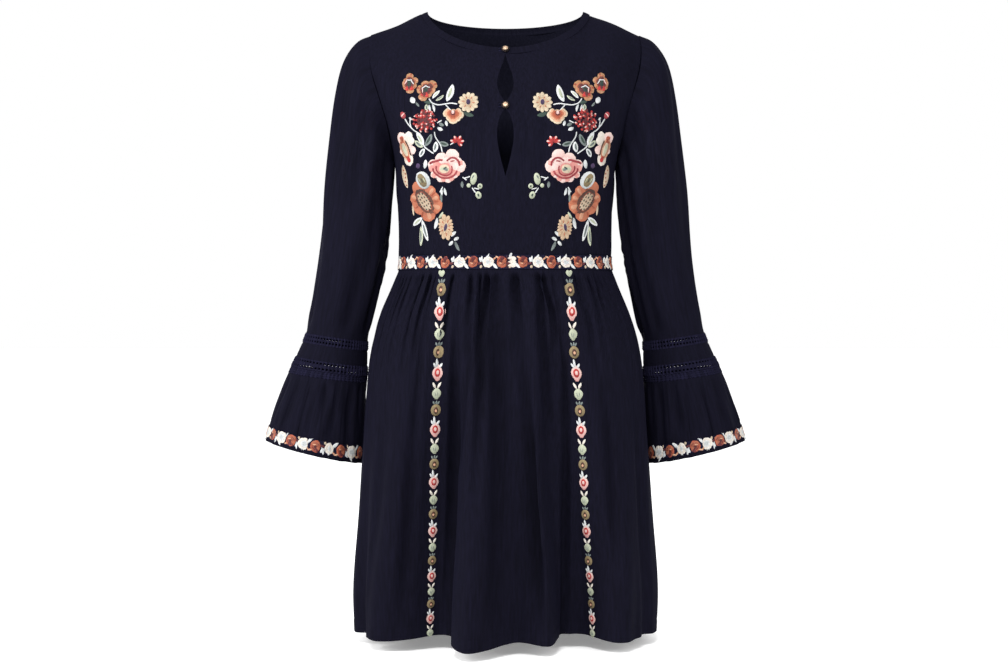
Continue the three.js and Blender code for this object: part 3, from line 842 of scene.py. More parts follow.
# %% Antique brass
brass, tree, shader = new_material("antique_brass")
place = read_attribute(tree, "cloth")
patina = noise(tree, place, 900, 3.0)
hollow = read_attribute(tree, "hollow", "Fac")
blend = add_node(tree, "ShaderNodeMath", operation="MULTIPLY_ADD")
tree.links.new(patina, blend.inputs[0])
blend.inputs[1].default_value = 0.5
tree.links.new(hollow, blend.inputs[2])
colour = mixed_colour(tree, blend.outputs[0], linear(178, 150, 126), linear(26, 20, 18), 0.3, 0.9)
tree.links.new(colour, shader.inputs["Base Color"])
shader.inputs["Metallic"].default_value = 0.9
shader.inputs["Roughness"].default_value = 0.38


# %% [markdown]
# ## Buttons
#
# Each button is a small cast dome with a ribbed rim and a flower in its middle. It could be modelled petal
# by petal, but from a step away it is a turned shape: an outline goes round the middle, the rim's radius
# ripples 36 times and the flower's height 9 times. It stands on the chest, which leans, so it is built on
# the chest's own up and out.

# %% Button mesh
def chest_frame(z):
    z = np.array(float(z))
    up = on_bodice(0, z + 1, FRONT) - on_bodice(0, z - 1, FRONT)
    up = up / np.linalg.norm(up)
    return on_bodice(0, z, FRONT), up, np.cross([1, 0, 0], up)


def button_mesh(name, z):
    foot, up, out = chest_frame(z)
    outline = [(1.2, 0.3), (1.5, 2.3), (4.9, 2.6), (5.35, 3.0), (5.4, 3.5), (5.1, 3.9), (4.6, 4.0)]
    outline += [(4.3, 3.9), (4.0, 4.2), (3.5, 4.8), (2.9, 5.2), (2.3, 5.3), (1.9, 5.15), (1.6, 5.3), (1.1, 5.75)]
    outline += [(0.5, 5.95)]
    outline = np.array(outline)
    turns = np.linspace(0, 2 * np.pi, 96, endpoint=False)
    radius = outline[:, 0, None] + 0 * turns
    height = outline[:, 1, None] + 0 * turns
    rim = (outline[:, 0, None] > 4.7) & (outline[:, 1, None] > 2.9)
    petals = bell(outline[:, 0, None] - 3.1, 1.3)
    height = height + 0.28 * petals * np.cos(9 * turns)
    radius = radius + np.where(rim, 0.14 * np.cos(36 * turns), 0)
    hollows = petals * (0.5 - 0.5 * np.cos(9 * turns)) + 0.8 * bell(outline[:, 0, None] - 4.35, 0.4)
    # From 3.2 mm out the number rises to 1 over the whole rim, not only in hollows: darker towards the rim.
    hollows = np.maximum(hollows, smooth_step((outline[:, 0, None] - 3.2) / 0.7) + 0 * turns)
    across = radius[..., None] * (np.cos(turns)[:, None] * np.array([1.0, 0, 0]) + np.sin(turns)[:, None] * up)
    points = (foot + across + height[..., None] * out).reshape(-1, 3)
    count = len(turns)
    faces = []
    for j in range(len(outline) - 1):
        for i in range(count):
            k = (i + 1) % count
            faces.append((j * count + i, j * count + k, (j + 1) * count + k, (j + 1) * count + i))
    faces.append(tuple(range(count))[::-1])
    faces.append(tuple((len(outline) - 1) * count + i for i in range(count)))
    return add_mesh(name, points, faces, [brass], points, extra={"hollow": hollows.ravel()})


# %% [markdown]
# ## Loops of cord
#
# A thin turned cord comes from one side of the slit, goes round the button's shank and back. A curve object
# with a bevel would draw it, but it would be round all along. Here the tube's section is slightly oval and
# twists on the way, which is how a stitched cord looks. It runs along the chest, so each point is laid on
# the bodice first.

# %% Loops of cord
def tube(points, radius, sides=10):
    """A round cord along a row of points, with flat ends."""
    points = np.asarray(points)
    along = np.gradient(points, axis=0)
    along /= np.linalg.norm(along, axis=1, keepdims=True)
    first = np.cross(along, [0.0, 1.0, 0.0])
    first /= np.maximum(np.linalg.norm(first, axis=1, keepdims=True), 1e-9)
    second = np.cross(along, first)
    turns = np.linspace(0, 2 * np.pi, sides, endpoint=False)
    twist = np.arange(len(points))[:, None] * 0.5
    size = radius * (1 + 0.1 * np.cos(2 * turns + twist))
    ring = np.cos(turns)[None, :, None] * first[:, None] + np.sin(turns)[None, :, None] * second[:, None]
    surface = points[:, None] + size[..., None] * ring
    faces = []
    for j in range(len(points) - 1):
        for i in range(sides):
            k = (i + 1) % sides
            faces.append((j * sides + i, j * sides + k, (j + 1) * sides + k, (j + 1) * sides + i))
    faces.append(tuple(range(sides))[::-1])
    faces.append(tuple((len(points) - 1) * sides + i for i in range(sides)))
    return surface.reshape(-1, 3), faces


def loop_mesh(name, z):
    foot, up, out = chest_frame(z)
    bend = 3.1
    turns = np.radians(np.linspace(90, -90, 24))
    x = np.concatenate([np.linspace(-9, -0.6, 14), bend * np.cos(turns), np.linspace(-0.6, -9, 14)])
    lead = np.linspace(0.55, 0.98, 14)
    rise = bend * np.concatenate([lead, np.sin(turns), -lead[::-1]])
    on_chest = on_bodice(x, z + rise * up[2], FRONT)
    points, faces = tube(on_chest + 1.1 * out, 0.8)
    return add_mesh(name, points, faces, [lace], points)


for which, height in BUTTON_HEIGHTS.items():
    dress(button_mesh(f"button_{which}_brass", height), f"button_{which}")
    dress(loop_mesh(f"button_loop_{which}_cord", height), f"button_loop_{which}")

# %% [markdown]
# ## Skirt creases
#
# A gathered skirt is never even: besides its gathers it has short sharp creases that start under the tape
# and die out, and long shallow ones lower down. The short ones are many and all alike, so they are drawn at
# random. The long ones are few and give the skirt its look, so each has a row with its place on the real
# dress. Thread stiffens cloth, so the creases stay clear of the two embroidered lines.

# %% Skirt creases
HEM_TURNING = 16.0
GATHER_LINES = 66
# the embroidered lines stiffen the cloth at this angle on either side of the centre front
EMBROIDERED_AT = 29.5


def gather_lines():
    """Angle, length, depth and width of the uneven creases that run down from the waist tape."""
    angle = (np.arange(GATHER_LINES) + rng.uniform(-0.42, 0.42, GATHER_LINES)) * 360 / GATHER_LINES
    length = rng.uniform(50, 230, GATHER_LINES)
    depth = rng.uniform(2.0, 9.0, GATHER_LINES) * (1 + 0.6 * bell(turn_between(angle, 0), 42))
    width = rng.uniform(1.1, 2.4, GATHER_LINES)
    lean = rng.uniform(-2.6, 2.6, GATHER_LINES)
    return list(zip(angle, length, depth, width, lean))


# where a shallow crease starts and ends, its angle at both, its depth and its half width in degrees
SHALLOW_CREASES = [
    (-380, -700, -5, -9, 3.2, 3.4),
    (-420, -840, -1, -2.5, 4.2, 4.0),
    (-430, -640, 5, 7, 3.4, 3.2),
    (-560, -845, 7, 9, 4.6, 3.8),
    (-390, -600, 11, 15, 3.0, 3.0),
    (-400, -620, -12, -15, 3.0, 3.0),
    (-390, -1020, -17.5, -20.5, 5.5, 3.4),
    (-430, -1000, 22.0, 21.0, 4.5, 3.2),
    (-470, -760, 39, 42, 2.4, 4.5),
    (-520, -820, -35, -38, 2.2, 4.5),
    (-400, -560, 20, 21, 2.0, 3.0),
    (-400, -580, -33, -35, 2.0, 3.0),
    (-430, -700, 140, 137, 3.4, 4.0),
    (-400, -620, 171, 171, 3.6, 3.6),
    (-460, -800, 192, 194, 3.6, 4.0),
    (-420, -640, 226, 229, 3.0, 4.0),
]


def creases_at(angle, z, lines):
    total = 0.0
    for line_angle, length, depth, width, lean in lines:
        down = np.clip((GATHERS_FROM - z) / length, 0, 1)
        bend = 0.5 * np.sin(9 * down + line_angle)
        away = turn_between(angle, line_angle + lean * down + bend)
        stiff = 1 - 0.85 * bell(np.abs(turn_between(angle, 0)) - EMBROIDERED_AT, 5.5)
        strength = smooth_step((GATHERS_FROM - z) / 12) * (1 - down) * stiff
        total = total - depth * strength * bell(away, width * (1 + down))
    for top, bottom, top_angle, end_angle, depth, width in SHALLOW_CREASES:
        down = np.clip((top - z) / (top - bottom), 0, 1)
        away = turn_between(angle, mix(top_angle, end_angle, down))
        total = total - 2.1 * depth * np.sin(np.pi * down) ** 0.8 * bell(away, width)
    return total


# %% [markdown]
# ## Skirt panels
#
# Front and back are cut alike and sewn together at the sides. Both take the same relief: fine ripples right
# under the tape, the creases, soft dents lower down, the hem's turning and its faint line of stitches, and
# a seam. Each panel has dents of its own, so these fade out towards the side seams: two panels that are
# sewn together can't stand out differently there, or a slit would open.

# %% Skirt panels
def skirt_relief(dents, ripples, lines):
    def relief(angle, z):
        across = angle * 3.4
        down = np.clip((GATHERS_FROM - z) / 110, 0, 1)
        started = np.clip((GATHERS_FROM - z) / 10, 0, 1)
        even = 0.65 * gather_depth(angle, z)
        soft = 1.1 * smooth_step(-(z + 350) / 120) * dents(across, z)
        from_seam = 90 - np.abs(turn_between(angle, 0))
        fine = 0.4 * started * (1 - down) ** 1.5 * ripples(across, z)
        sewn = 1 - bell(from_seam, 5)
        fine = fine * sewn - even + creases_at(angle, z, lines)
        soft = soft * sewn
        hem = 0.3 * groove(z, HEM_Z + HEM_TURNING, 1.6) + 0.25 * smooth_step((HEM_Z + HEM_TURNING - z) / 3)
        seam = 0.7 * groove(from_seam * 3.4, 0, 3.5)
        return fine + soft + hem + seam

    return relief


skirt_rows = np.unique(np.concatenate([
    np.linspace(HEM_Z, HEM_Z + 24, 13),
    np.linspace(HEM_Z + 30, -600, 34),
    np.linspace(-592, -420, 32),
    np.linspace(-416, WAIST_Z, 30),
]))
waist_lines = gather_lines()
skirt_front = wall("skirt_front_cloth", skirt_point, np.linspace(-90, 90, 289), skirt_rows, navy, (560, 500),
                   relief=skirt_relief(soft_dents(90, 420), soft_dents(6, 160), waist_lines), upright=True)
dress(skirt_front, "skirt_front")
skirt_back = wall("skirt_back_cloth", skirt_point, np.linspace(90, 270, 289), skirt_rows, navy, (560, 500),
                  relief=skirt_relief(soft_dents(90, 420), soft_dents(6, 160), waist_lines), upright=True)
dress(skirt_back, "skirt_back")
print("skirt panels:", len(skirt_front.data.polygons), "faces each")

# %% [markdown]
# ## Sleeves and cuffs
#
# The sleeve is an easy tube with long soft folds and creases at the inner elbow. Two bands of ladder lace
# are let in above the wrist: bare bars cross an open strip between two cords. The openings could be painted
# with a see-through material, but then the lace would have no edges and cast no proper shadow, so the cells
# between the bars are left out of the wall. A narrow shirred header gathers the ruffle, whose waves are
# uneven: most of the frame's even wave is taken out again, and single creases take its place.

# %% Sleeve
LADDER_BARS = 62


def sleeve_relief(dents, creases, side):
    def relief(angle, at):
        turn = np.radians(angle)
        around = 130 * np.sin(turn)
        eased = smooth_step(at / 30) * smooth_step((SLEEVE_END - at) / 30)
        soft = 1.5 * dents(around + 60 * np.cos(turn), at)
        inner_elbow = bell(turn_between(angle, 180), 80) * bell(at - 215, 75)
        creased = 0.5 * inner_elbow * creases(around * 0.4, at)
        seam = 0.25 * groove(at, 0, 4)
        return eased * (soft + creased) + seam

    return relief


def arm_wall(name, surface, side, columns, ats, material, size, **more):
    angles = np.linspace(0, 360, columns, endpoint=False)
    return wall(name, mirrored(surface, side), angles, ats, material, size, closed=True, turned=side < 0, **more)


# %% Ladder lace
def ladder(bars, bands):
    """Leaves open cells between bars, in each band of the ring."""
    pitch = 360 / bars

    def cut(angle, at):
        between = (angle % pitch) / pitch > 0.46
        inside = np.zeros_like(at, bool)
        for low, high in bands:
            inside |= (at > low) & (at < high)
        return between & inside

    return cut


def ladder_angles(bars):
    pitch = 360 / bars
    steps = np.array([0.0, 0.15, 0.31, 0.46, 0.64, 0.82]) * pitch
    return (np.arange(bars)[:, None] * pitch + steps).ravel()


def rib_relief(bars, bands):
    """Bars are round and stand a little in; the bands' edges are thick cords."""
    pitch = 360 / bars

    def relief(angle, at):
        out = np.zeros_like(at)
        on_bar = bell((angle % pitch) / pitch - 0.23, 0.34)
        for low, high in bands:
            out = out + 0.5 * np.exp(-(((at - low) / 0.8) ** 2)) + 0.5 * np.exp(-(((at - high) / 0.8) ** 2))
        return out * (0.3 + 1.3 * on_bar) + 1.0 * on_bar

    return relief


UPPER_BANDS = [(342.6, 345.1), (347.9, 350.4)]
LOWER_BANDS = [(376.6, 379.1), (383.8, 386.3)]

# %% Gathering header and ruffle
HEADER_PLEATS = 60
HEADER_CORDS = 3


def header_relief(angle, at):
    pleat = np.cos(np.radians(HEADER_PLEATS * angle) + 1.2 * np.sin(np.radians(7 * angle)))
    cords = np.cos(2 * np.pi * HEADER_CORDS * (at - LOWER_LADDER_END) / (HEADER_END - LOWER_LADDER_END))
    return 0.5 * pleat * (1 + 0.6 * cords) - 0.6 * cords


# angle of a crease in the ruffle, how far down it runs, its depth and half width in degrees
RUFFLE_CREASES = [
    (24, 0.8, 3.6, 9),
    (52, 0.95, 6.0, 9),
    (72, 0.99, 6.0, 8),
    (95, 0.8, 4.0, 8),
    (112, 0.7, 4.2, 7),
    (134, 0.95, 5.0, 8),
    (152, 0.6, 3.0, 7),
    (205, 0.6, 2.6, 8),
    (232, 0.9, 4.6, 9),
    (258, 0.6, 3.4, 7),
    (281, 0.95, 5.0, 9),
    (310, 0.7, 3.6, 8),
    (338, 0.9, 3.0, 8),
]


def ruffle_wave(angle, at):
    """How far the ruffle's waves stand out."""
    plain = (arm_section(np.zeros_like(angle), at) + arm_section(np.full_like(angle, 180.0), at)) / 2
    waved = np.linalg.norm(ruffle_point(angle, at) - plain, axis=-1)
    return waved - np.linalg.norm(arm_section(angle, at) - plain, axis=-1)


def ruffle_creases(angle, at):
    down = (at - HEADER_END) / (RUFFLE_HEM - HEADER_END)
    total = 0.0
    for line, reach, depth, width in RUFFLE_CREASES:
        share = np.clip(down / reach, 0, 1)
        sunk = depth * np.sin(np.pi * share) ** 0.7 * (1 - 0.5 * share)
        total = total - sunk * bell(turn_between(angle, line), width)
    return total


def ruffle_relief(dents, ripples):
    def relief(angle, at):
        turn = np.radians(angle)
        around = 230 * np.sin(turn / 2)
        down = (at - HEADER_END) / (RUFFLE_HEM - HEADER_END)
        fine = 0.35 * (1 - down) ** 3 * np.cos(45 * turn + 2.2 * np.sin(3 * turn))
        smoother = -0.85 * ruffle_wave(angle, at)
        soft = 0.8 * dents(around, at) + 0.25 * ripples(around, at) * (1 - down)
        # the tape sewn round near the edge holds the cloth under it smooth
        held = smooth_step((at - RUFFLE_TAPE[0] + 10) / 8)
        soft = soft * smooth_step(down * 6) * (1 - held)
        return fine * smooth_step(down * 12) + smoother + soft + ruffle_creases(angle, at)

    return relief


# %% Sewing the arms
cloth_pieces = {}
for side_name, side in (("left", 1), ("right", -1)):
    sleeve = arm_wall(f"sleeve_{side_name}_cloth", sleeve_point, side, 112,
                      np.unique(np.concatenate([np.linspace(0, 40, 18), np.linspace(44, SLEEVE_END, 84)])), navy,
                      (300, 345), relief=sleeve_relief(soft_dents(70, 300), soft_dents(60, 26), side))
    dress(sleeve, f"sleeve_{side_name}")
    upper = wall(
        f"cuff_ladder_upper_{side_name}_lace", mirrored(sleeve_point, side), ladder_angles(LADDER_BARS),
        np.array([SLEEVE_END, 341.4, 342.6, 343.9, 345.1, 346.5, 347.9, 349.2, 350.4, 351.6, UPPER_LADDER_END]), lace,
        (250, 13),
        closed=True, turned=side < 0, relief=rib_relief(LADDER_BARS, UPPER_BANDS),
        cut=ladder(LADDER_BARS, UPPER_BANDS))
    dress(upper, f"cuff_ladder_upper_{side_name}")
    band = arm_wall(f"cuff_band_{side_name}_cloth", sleeve_point, side, 96, np.linspace(UPPER_LADDER_END, BAND_END, 14),
                    navy, (265, 22), relief=lambda a, s: 0.25 - 0.5 * np.exp(-(((s - 354.4) / 0.8) ** 2))
                    - 0.5 * np.exp(-(((s - 373.2) / 0.8) ** 2)))
    dress(band, f"cuff_band_{side_name}")
    lower = wall(
        f"cuff_ladder_lower_{side_name}_lace", mirrored(sleeve_point, side), ladder_angles(LADDER_BARS),
        np.array([BAND_END, 375.6, 376.6, 377.9, 379.1, 381.5, 383.8, 385.1, 386.3, 387.4, LOWER_LADDER_END]), lace,
        (285, 14), closed=True, turned=side < 0, relief=rib_relief(LADDER_BARS, LOWER_BANDS),
        cut=ladder(LADDER_BARS, LOWER_BANDS))
    dress(lower, f"cuff_ladder_lower_{side_name}")
    header = arm_wall(f"cuff_header_{side_name}_lace", sleeve_point, side, 60 * 6,
                      np.linspace(LOWER_LADDER_END, HEADER_END, 14), lace, (300, 10), relief=header_relief)
    dress(header, f"cuff_header_{side_name}")
    ruffle = arm_wall(f"ruffle_{side_name}_cloth", ruffle_point, side, 270,
                      np.unique(np.concatenate([np.linspace(HEADER_END, 415, 10), np.linspace(418, RUFFLE_HEM, 30)])),
                      navy, (420, 104), relief=ruffle_relief(soft_dents(40, 160), soft_dents(7, 120)))
    dress(ruffle, f"ruffle_{side_name}")
    cloth_pieces[side_name] = [sleeve, upper, band, lower, header, ruffle]
print("arms:", [len(p.data.polygons) for p in cloth_pieces["left"]])

# %% [markdown]
# ## Tapes
#
# The waist tape and the tapes on the ruffles are narrow woven bands with the flowers worked on them. Their
# ground is the dress's navy, and the selvedges are a little thicker than the middle. A tape could be
# floated over the cloth, but it would then cut through the ruffle's waves. So it takes the same waves and
# creases as the cloth beneath and lies one thickness above it.

# %% Tape grounds


def waist_form(angle, z):
    above = smooth_step((z - WAIST_Z) / 2 + 0.5)
    turn = np.radians(angle)
    depth = np.where(np.cos(turn) > 0, chest_front(z), chest_back(z))
    torso = vector(
        chest_side(z) * signed_power(np.sin(turn), 2 / SQUARENESS),
        -depth * signed_power(np.cos(turn), 2 / SQUARENESS),
        z,
    )
    return torso * above[..., None] + skirt_point(angle, np.minimum(z, WAIST_Z), False) * (1 - above[..., None])


def selvedge(low, high):
    def relief(u, v):
        return 0.25 * np.exp(-(((v - low) / 0.9) ** 2)) + 0.25 * np.exp(-(((v - high) / 0.9) ** 2))

    return relief


waist_tape = wall("waist_tape_ground", waist_form, np.linspace(0, 360, 240, endpoint=False),
                  np.linspace(WAIST_TAPE[0], WAIST_TAPE[1], 15), lace, (780, 19), closed=True, lift=1.3,
                  relief=selvedge(*WAIST_TAPE))
dress(waist_tape, "waist_tape")


def tape_on_ruffle(angle, at):
    """The tape lies on the ruffle, so it takes the same waves and creases."""
    return selvedge(*RUFFLE_TAPE)(angle, at) - 0.85 * ruffle_wave(angle, at) + ruffle_creases(angle, at)


ruffle_tapes = {}
for side_name, side in (("left", 1), ("right", -1)):
    tape = arm_wall(f"ruffle_tape_{side_name}_ground", ruffle_point, side, 270, np.linspace(*RUFFLE_TAPE, 10), lace,
                    (420, 15), lift=1.0, relief=tape_on_ruffle)
    dress(tape, f"ruffle_tape_{side_name}")
    ruffle_tapes[side_name] = tape

# %% [markdown]
# ## Thread
#
# The flowers are worked in satin stitch: threads laid side by side across each small shape, so that it
# stands up as a soft dome. Modelling every thread would take millions of faces. So each shape is one dome,
# and a wave texture across it makes the single threads. A colour of thread has a deep and a light shade,
# and a shape goes from one to the other along its length, as shaded floss does.

# %% Thread materials
THREAD_SHADES = {
    "white": ((156, 164, 164), (236, 238, 238)),
    "ivory": ((196, 176, 162), (246, 238, 226)),
    "cream": ((176, 152, 120), (222, 204, 176)),
    "wheat": ((168, 132, 100), (212, 182, 150)),
    "tan": ((122, 76, 50), (184, 136, 96)),
    "blush": ((214, 150, 144), (246, 216, 208)),
    "pink": ((200, 108, 106), (238, 172, 160)),
    "rose": ((120, 24, 36), (174, 58, 66)),
    "red": ((134, 16, 22), (204, 52, 48)),
    "maroon": ((56, 10, 18), (104, 28, 34)),
    "rust": ((112, 42, 28), (184, 88, 56)),
    "orange": ((130, 60, 42), (196, 114, 80)),
    "peach": ((184, 118, 88), (226, 174, 140)),
    "olive": ((104, 88, 56), (168, 148, 108)),
    "sage": ((132, 142, 116), (204, 210, 184)),
    "grey": ((62, 72, 72), (126, 136, 134)),
    "green": ((18, 38, 34), (52, 76, 64)),
    "purple": ((34, 18, 52), (78, 52, 98)),
    "brown": ((52, 28, 20), (112, 66, 46)),
    "beige": ((172, 146, 120), (222, 202, 176)),
}
THREAD_PITCH = 0.45
THREAD_DEPTH = 0.45


def thread_colour(colour):
    """Thread is hollowed by its own shadows, so it is dyed a little deeper than it looks."""
    return tuple(THREAD_DEPTH * part for part in linear(*colour)[:3]) + (1.0,)


threads = {}
for thread_name, (deep, light) in THREAD_SHADES.items():
    material, tree, shader = new_material(f"thread_{thread_name}")
    place = read_attribute(tree, "cloth")
    along = read_attribute(tree, "shade", "Fac")
    uneven = noise(tree, place, 400, 1.0)
    shade = add_node(tree, "ShaderNodeMath", operation="MULTIPLY_ADD")
    tree.links.new(uneven, shade.inputs[0])
    shade.inputs[1].default_value = 0.35
    tree.links.new(along, shade.inputs[2])
    colour = mixed_colour(tree, shade.outputs[0], thread_colour(deep), thread_colour(light), 0.12, 1.05)
    tree.links.new(colour, shader.inputs["Base Color"])
    stripes = add_node(tree, "ShaderNodeTexWave", bands_direction="X")
    stripes.inputs["Scale"].default_value = 1 / (THREAD_PITCH * MM) / 3.2
    stripes.inputs["Distortion"].default_value = 0.6
    tree.links.new(place, stripes.inputs["Vector"])
    tree.links.new(add_bump(tree, stripes.outputs["Fac"], 0.00015, 0.5), shader.inputs["Normal"])
    shader.inputs["Roughness"].default_value = 0.6
    shader.inputs["Specular IOR Level"].default_value = 0.25
    shader.inputs["Sheen Weight"].default_value = 0.05
    threads[thread_name] = material
print("thread colours:", len(threads))

# %% [markdown]
# ## Stitching patches
#
# A shape in satin stitch could be drawn straight on the dress, but its points would have to be found on
# curved cloth. It is easier to work flat, as in a hoop. A piece of embroidery collects its patches on flat
# cloth first. When it is finished, every point is laid on the form of the garment and then dropped onto the
# real mesh underneath, so that the thread follows the cloth's creases. The edge of each patch sinks into
# the cloth.

# %% Embroidery maker
LAYER = 0.3
SUNK = -0.25


class Embroidery:
    def __init__(self, layer=LAYER):
        self.layer = layer
        self.flat = []
        self.height = []
        self.place = []
        self.shade = []
        self.faces = []
        self.thread = []
        self.count = 0

    def satin(self, spine, half, thread, layer=0, rise=0.5, tones=(0.15, 0.85)):
        """One patch: a middle line, the half width along it, its thread, and how it shades from start to end."""
        spine = np.asarray(spine, float)
        half = np.maximum(np.asarray(half, float), 0.12)
        rows = len(spine)
        side = np.array([-1.0, -0.62, 0.0, 0.62, 1.0])
        along = np.gradient(spine, axis=0)
        step = np.linalg.norm(along, axis=1)
        along = along / np.maximum(step, 1e-9)[:, None]
        across = np.stack([-along[:, 1], along[:, 0]], 1)
        flat = spine[:, None] + side[None, :, None] * half[:, None, None] * across[:, None]
        inside = np.zeros((rows, 5))
        inside[1:-1, 1:4] = np.array([0.8, 1.0, 0.8])
        dome = np.maximum(np.minimum(1, half / 1.1), 0.45)
        height = np.where(inside > 0, self.layer * layer + rise * inside * dome[:, None], SUNK)
        length = np.concatenate([[0], np.cumsum(np.hypot(*np.diff(spine, axis=0).T))])
        tone = tones[0] + (tones[1] - tones[0]) * length / length[-1] + rng.uniform(-0.08, 0.08)
        self.flat.append(flat.reshape(-1, 2))
        self.height.append(height.ravel())
        start = rng.uniform(0, 40)
        patch = vector(start + length[:, None] + 0 * side, side * half[:, None], 0 * height)
        self.place.append(patch.reshape(-1, 3))
        self.shade.append(np.repeat(tone, 5))
        number = self.count + np.arange(rows * 5).reshape(rows, 5)
        for j in range(rows - 1):
            for i in range(4):
                self.faces.append((number[j, i], number[j, i + 1], number[j + 1, i + 1], number[j + 1, i]))
        ring = list(number[0]) + list(number[1:-1, 4]) + list(number[-1][::-1]) + list(number[1:-1, 0][::-1])
        self.faces.append(tuple(ring[::-1]))
        self.thread += [thread] * (4 * (rows - 1) + 1)
        self.count += rows * 5

    def finish(self, name, form, ground, above=12):
        """Lays the patches on a form, which gives a point and its outward normal, and drops them onto ground.

        above is the height in mm over the form from which they drop.
        """
        flat = np.concatenate(self.flat)
        height = np.concatenate(self.height)
        point, normal, handed = form(flat[:, 0], flat[:, 1])
        mesh = ground.data
        tree = BVHTree.FromPolygons([v.co for v in mesh.vertices], [p.vertices for p in mesh.polygons])
        lowered = np.zeros(len(flat))
        for n in range(len(flat)):
            start = (point[n] + above * normal[n]) * MM
            hit = tree.ray_cast(start, -normal[n], 2 * above * MM)
            lowered[n] = above - hit[3] / MM if hit[0] is not None else 0.0
        points = point + normal * (lowered + height)[:, None]
        used = sorted(set(self.thread))
        numbers = [used.index(t) for t in self.thread]
        faces = [f if handed > 0 else f[::-1] for f in self.faces]
        faces = [tuple(int(v) for v in f) for f in faces]
        shade = {"shade": np.clip(np.concatenate(self.shade), 0, 1)}
        piece = add_mesh(name, points, faces, [threads[t] for t in used], np.concatenate(self.place), numbers, shade)
        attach(piece, "root")
        print(name, "patches:", len(self.flat), "points:", len(points))
        return piece


def form_of(surface):
    """Turns a surface of two flat coordinates into points and outward normals."""

    def form(a, b):
        point = surface(a, b)
        along_a = surface(a + 0.2, b) - surface(a - 0.2, b)
        along_b = surface(a, b + 0.2) - surface(a, b - 0.2)
        normal = np.cross(along_a, along_b)
        normal /= np.maximum(np.linalg.norm(normal, axis=1, keepdims=True), 1e-9)
        inward = point - surface.axis(point)
        handed = np.sign(np.sum(normal * inward, axis=1).mean())
        return point, normal * handed, handed

    return form


# %% [markdown]
# ## Leaves and stems
#
# Every flower on the dress is sewn from a few shapes. They could be drawn as outlines and filled, but satin
# stitch always runs across a shape, from one edge to the other. So each shape is given as the stitcher sees
# it, by its middle line and its width along it. A leaf is widest in the middle and pointed at both ends,
# and a stem is an even line.

# %% Leaves and stems
def bent_line(start, end, bend, count=7):
    start = np.array(start, float)
    end = np.array(end, float)
    along = end - start
    middle = (start + end) / 2 + bend * np.array([-along[1], along[0]])
    t = np.linspace(0, 1, count)[:, None]
    return (1 - t) ** 2 * start + 2 * t * (1 - t) * middle + t**2 * end


def leaf(work, start, end, width, thread, bend=0.12, layer=0, tones=(0.2, 0.9), rise=0.45):
    t = np.linspace(0, 1, 7)
    half = width / 2 * np.sin(np.pi * t) ** 0.8
    work.satin(bent_line(start, end, bend), half, thread, layer, rise, tones)


def outlined_leaf(work, start, end, width, edge, inside, bend=0.12, layer=0, share=0.5):
    """A leaf with a rim of one thread round a middle of another."""
    start = np.array(start, float)
    end = np.array(end, float)
    leaf(work, start, end, width, edge, bend, layer, (0.6, 1.0))
    inner_start = start + 0.16 * (end - start)
    inner_end = start + 0.86 * (end - start)
    leaf(work, inner_start, inner_end, width * share, inside, bend, layer + 1.6, (0.2, 0.8), 0.2)


def stem(work, points, width, thread, layer=0, tones=(0.5, 0.9), rise=0.4):
    points = np.array(points, float)
    length = np.concatenate([[0], np.cumsum(np.hypot(*np.diff(points, axis=0).T))])
    at = np.linspace(0, length[-1], max(4, int(length[-1] / 2.5)))
    line = np.stack([np.interp(at, length, points[:, 0]), np.interp(at, length, points[:, 1])], 1)
    line[1:-1] = (line[:-2] + 2 * line[1:-1] + line[2:]) / 4
    work.satin(line, np.full(len(line), width / 2), thread, layer, rise, tones)


# %% [markdown]
# ## Petals and buds
#
# A petal is widest near its outer end and narrow at its root; a bud or a flower's eye is an oval. Both
# could be scaled copies of one drawing, but then their threads would be stretched with them. Here only the
# width's formula changes, and the threads keep their pitch.

# %% Petals and buds
def petal(work, root, tip, width, thread, layer=0, tones=(0.1, 0.95), rise=0.55, bend=0.0, blunt=1.5, sharp=0.55):
    t = np.linspace(0, 1, 8)
    half = width / 2 * np.sin(np.pi * t**blunt) ** sharp
    half[0] = width * 0.12
    work.satin(bent_line(root, tip, bend, 8), half, thread, layer, rise, tones)


def oval(work, centre, size, thread, tilt=0.0, layer=0, tones=(0.4, 0.7), rise=0.5):
    turn = math.radians(tilt)
    up = np.array([math.sin(turn), math.cos(turn)]) * size[1] / 2
    centre = np.array(centre, float)
    t = 0.5 - 0.5 * np.cos(np.linspace(0, np.pi, 9))
    half = size[0] / 2 * np.sqrt(np.clip(1 - (2 * t - 1) ** 2, 0, 1))
    work.satin(centre - up + 2 * up * t[:, None], half, thread, layer, rise, tones)


def away_from(centre, angle, reach):
    turn = math.radians(angle)
    return np.array([centre[0] + reach * math.cos(turn), centre[1] + reach * math.sin(turn)])


# %% [markdown]
# ## Lobed flowers
#
# Most of the flowers are a ring of lobes of different reach, worked in bands of colour towards the middle.
# Each band could be a ring of its own shape, but a stitcher sews the same petals again, smaller and in a
# new thread, over the first. The function does the same, one layer higher each time, over a disc that fills
# the middle.

# %% Lobed flowers and rings of petals
def lobed(work, centre, lobes, bands, layer=1, filled=0.55):
    """Lobes (angle, reach, width) round a centre, sewn once for each band (share of the reach, thread)."""
    nearest = min(reach for angle, reach, width in lobes)
    for number, (share, thread) in enumerate(bands):
        level = layer + 1.0 * number
        disc = 2 * filled * share * nearest
        oval(work, centre, (disc, disc), thread, 0, level, (0.3, 0.5), 0.3)
        for n, (angle, reach, width) in enumerate(lobes):
            root = away_from(centre, angle, 0.2 * share * reach)
            tip = away_from(centre, angle, share * reach)
            wide = width * mix(0.3, 1.0, share)
            petal(work, root, tip, wide, thread, level + 0.3 * (n % 2), (0.15, 0.95), 0.42, 0.0, 1.35)


